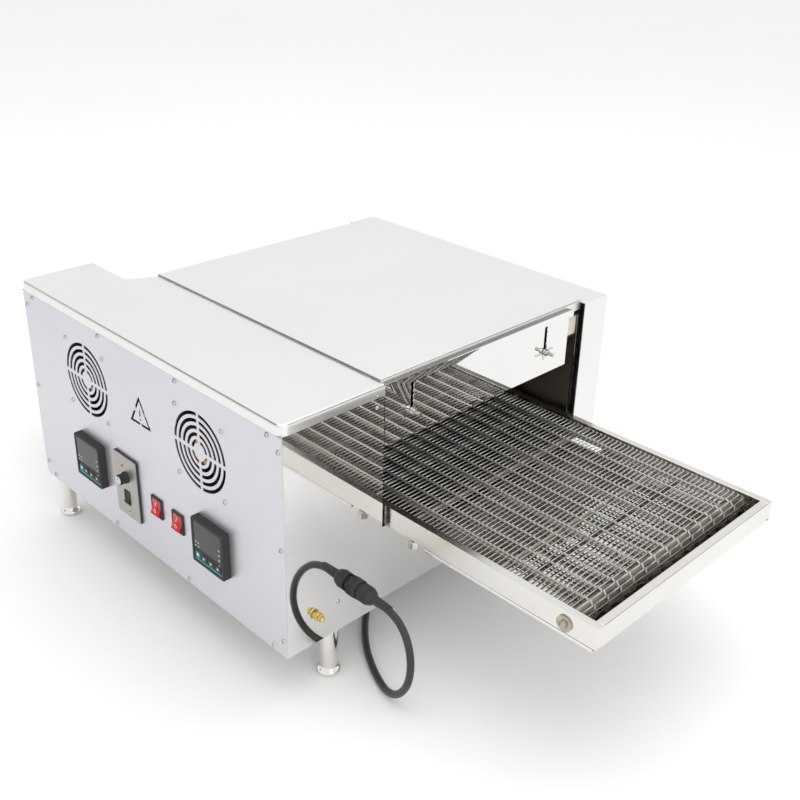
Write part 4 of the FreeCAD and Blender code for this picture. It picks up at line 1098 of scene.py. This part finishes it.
class OVEN_OT_belt(bpy.types.Operator):
    """Weave the wire belt round its two shafts"""
    bl_idname = "oven.belt"
    bl_label = "Belt"

    def execute(self, context):
        belt = context.scene.oven_belt
        low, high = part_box("conveyor_belt")
        radius = (high.z - low.z - belt.wire) / 2
        height = (low.z + high.z) / 2
        reach = (high.x - low.x) / 2 - radius - belt.wire / 2
        lap = 4 * reach + math.tau * radius
        pitch = lap / belt.rods
        upper, lower = [], []
        for k in range(belt.rods):
            way = (k + 0.5) * pitch
            point, turn, over = loop_station(way, reach, radius, height)
            (upper if over else lower).append((point, turn))
        # The lower run takes the darker copy of the wire finish as painted shade.
        for name, places, finish in (("belt_upper_run", upper, "belt_wire"),
                                     ("belt_lower_run", lower, "sooty_wire")):
            pattern = self.rod(belt, high.y - low.y, (low.y + high.y) / 2, pitch)
            run = repeat(pattern, places, name, finish, crease=60)
            settle(run, "oven", "belt_wire", "conveyor_belt")
        return {"FINISHED"}

    def rod(self, belt, width, middle, pitch):
        """One wire across the belt: straight lanes joined by hooks round the wire before."""
        lane = (width - 2 * belt.wire) / belt.lanes
        left, right = (middle + side * lane * belt.lanes / 2 for side in (-1, 1))
        lift = belt.wire * 0.42
        points = [Vector((-pitch * 0.5, left + 0.3 * belt.wire, 0)), Vector((0, left, 0))]
        for k in range(1, belt.lanes):
            edge = left + lane * k
            points += [Vector((-back * pitch, edge + out * belt.hook, raised * lift))
                       for back, out, raised in HOOK]
        points += [Vector((0, right, 0)), Vector((-pitch * 0.5, right - 0.3 * belt.wire, 0))]
        return self.tube(points, belt.wire / 2, 5)

    def tube(self, points, radius, sides):
        """A closed tube along a bent line."""
        shape = bmesh.new()
        rings = []
        for k, point in enumerate(points):
            before = points[max(k - 1, 0)]
            after = points[min(k + 1, len(points) - 1)]
            along = (after - before).normalized()
            side = along.cross(UP).normalized()
            top = side.cross(along)
            rings.append([shape.verts.new(point + (side * math.cos(t) + top * math.sin(t)) * radius)
                          for t in (math.tau * n / sides for n in range(sides))])
        join_loops(shape, rings)
        shape.faces.new(rings[0])
        shape.faces.new(rings[-1])
        return piece_from(outward(shape), "belt_rod_pattern", "belt_wire")


class OVEN_OT_deck(bpy.types.Operator):
    """Finish the rails, shafts, trays and drive of the conveyor"""
    bl_idname = "oven.deck"
    bl_label = "Conveyor deck"

    def execute(self, context):
        for node, body, slot, finish in (
                ("belt_supports", "oven", "belt_wire", "shaft_steel"),
                ("drive_shaft", "drive_shaft", "shaft_steel", "shaft_steel"),
                ("idler_shaft", "idler_shaft", "shaft_steel", "shaft_steel"),
                ("drive_sprockets", "drive_shaft", "dark_sprocket", "dark_steel"),
                ("idler_sprockets", "idler_shaft", "dark_sprocket", "dark_steel"),
                ("drive_chainwheel", "drive_shaft", "chain_steel", "oiled_chain"),
                ("motor_sprocket", "motor_shaft", "chain_steel", "oiled_chain"),
                ("shaft_bushes", "oven", "bronze_bush", "bush_bronze"),
                ("gear_motor", "oven", "motor_paint", "grey_enamel"),
                ("chain_guard", "oven", "brushed_steel", "rail_sheet"),
                ("outlet_crumb_tray", "outlet_crumb_tray", "brushed_steel", "mirror_sheet"),
                ("inlet_crumb_tray", "inlet_crumb_tray", "brushed_steel", "mirror_sheet")):
            dress(node, body, slot, finish)
        for node in ("near_rail", "far_rail", "conveyor_end_plates"):
            dress(node, "oven", "brushed_steel", "rail_sheet", 0.55 * MM)
        self.clamp_knob()
        self.chain()
        return {"FINISHED"}

    def clamp_knob(self):
        """A lobed bright knob on a stud below the near rail."""
        low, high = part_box("deck_clamp_knob")
        seat = middle_of("deck_clamp_knob", z=low.z)
        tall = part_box("near_rail")[0].z - low.z - 0.4 * MM
        lobes, steps = 6, 36
        radii = [(7.3 + 0.65 * math.cos(lobes * math.tau * k / steps)) * MM for k in range(steps)]
        grip, stem = bmesh.new(), bmesh.new()
        add_plate(grip, around(radii), seat, RIGHT, INTO, tall)
        knob = piece_from(outward(grip), "clamp_knob_grip", "bright_screw")
        soften(knob, 2.4 * MM, 4, 50)
        settle(knob, "deck_clamp_knob", "screw_zinc", "deck_clamp_knob")
        add_turned(stem, disc(1.6, (high.z - low.z) / MM), seat, UP, 20)
        finished(stem, "clamp_knob_stud", "bright_screw", "deck_clamp_knob", "screw_zinc")

    def chain(self):
        """A roller chain of plates and rollers round the two chainwheels."""
        low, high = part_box("drive_chain")
        radius = (high.z - low.z) / 2 - 3 * MM
        reach = (high.x - low.x) / 2 - radius - 3 * MM
        centre = (low + high) / 2
        lap = 4 * reach + math.tau * radius
        count = 2 * round(lap / (2 * 6.35 * MM))
        step = lap / count
        for kind, inset, first in (("inner", 1.4, 0), ("outer", 2.2, 1)):
            places = []
            for k in range(first, count, 2):
                point, turn, _ = loop_station((k + 0.5) * step, reach, radius, 0)
                places.append((point + centre, turn))
            shape = bmesh.new()
            for side in (-1, 1):
                plate = []
                for n in range(16):
                    angle = math.tau * n / 16
                    lobe = 0.5 * step * (1 if math.cos(angle) > 0 else -1)
                    plate.append((lobe + 2.4 * MM * math.cos(angle), 2.4 * MM * math.sin(angle)))
                add_plate(shape, plate, (0, side * inset * MM + 0.3 * MM, 0), RIGHT, UP, 0.6 * MM)
            if kind == "inner":
                for way in (-0.5, 0.5):
                    add_turned(shape, disc(1.6, 2.4), (way * step, -1.2 * MM, 0), INTO, 12)
            link = piece_from(outward(shape), "link_pattern", "oiled_chain")
            links = repeat(link, places, "chain_%s_links" % kind, "oiled_chain")
            settle(links, "oven", "chain_steel", "drive_chain")


# ---------------------------------------------------------------- add-on
class OVEN_PT_panel(bpy.types.Panel):
    """Lists the steps that build the oven."""
    bl_idname = "OVEN_PT_panel"
    bl_label = "Conveyor pizza oven"
    bl_space_type = "VIEW_3D"
    bl_region_type = "UI"
    bl_category = "Oven"

    def draw(self, context):
        scene = context.scene
        for group in (scene.oven_stage, scene.oven_finish, scene.oven_belt, scene.oven_lead):
            box = self.layout.box()
            for name in group.bl_rna.properties.keys():
                if name not in ("name", "rna_type"):
                    box.prop(group, name)
        for step in STEPS:
            self.layout.operator(step.bl_idname)


STEPS = (
    OVEN_OT_stage, OVEN_OT_power_lead, OVEN_OT_cabinets, OVEN_OT_fasteners, OVEN_OT_fans,
    OVEN_OT_controllers, OVEN_OT_switches, OVEN_OT_curtains, OVEN_OT_belt, OVEN_OT_deck,
)
GROUPS = {
    "oven_belt": OvenBeltSettings,
    "oven_lead": OvenLeadSettings,
    "oven_finish": OvenFinishSettings,
    "oven_stage": OvenStageSettings,
}


def register():
    for group in GROUPS.values():
        bpy.utils.register_class(group)
    for name, group in GROUPS.items():
        setattr(bpy.types.Scene, name, bpy.props.PointerProperty(type=group))
    for part in STEPS + (OVEN_PT_panel,):
        bpy.utils.register_class(part)


def unregister():
    for part in (OVEN_PT_panel,) + STEPS[::-1]:
        bpy.utils.unregister_class(part)
    for name, group in GROUPS.items():
        delattr(bpy.types.Scene, name)
        bpy.utils.unregister_class(group)


def main():
    register()
    for step in STEPS:
        group, name = step.bl_idname.split(".")
        getattr(getattr(bpy.ops, group), name)()


if __name__ == "__main__":
    main()
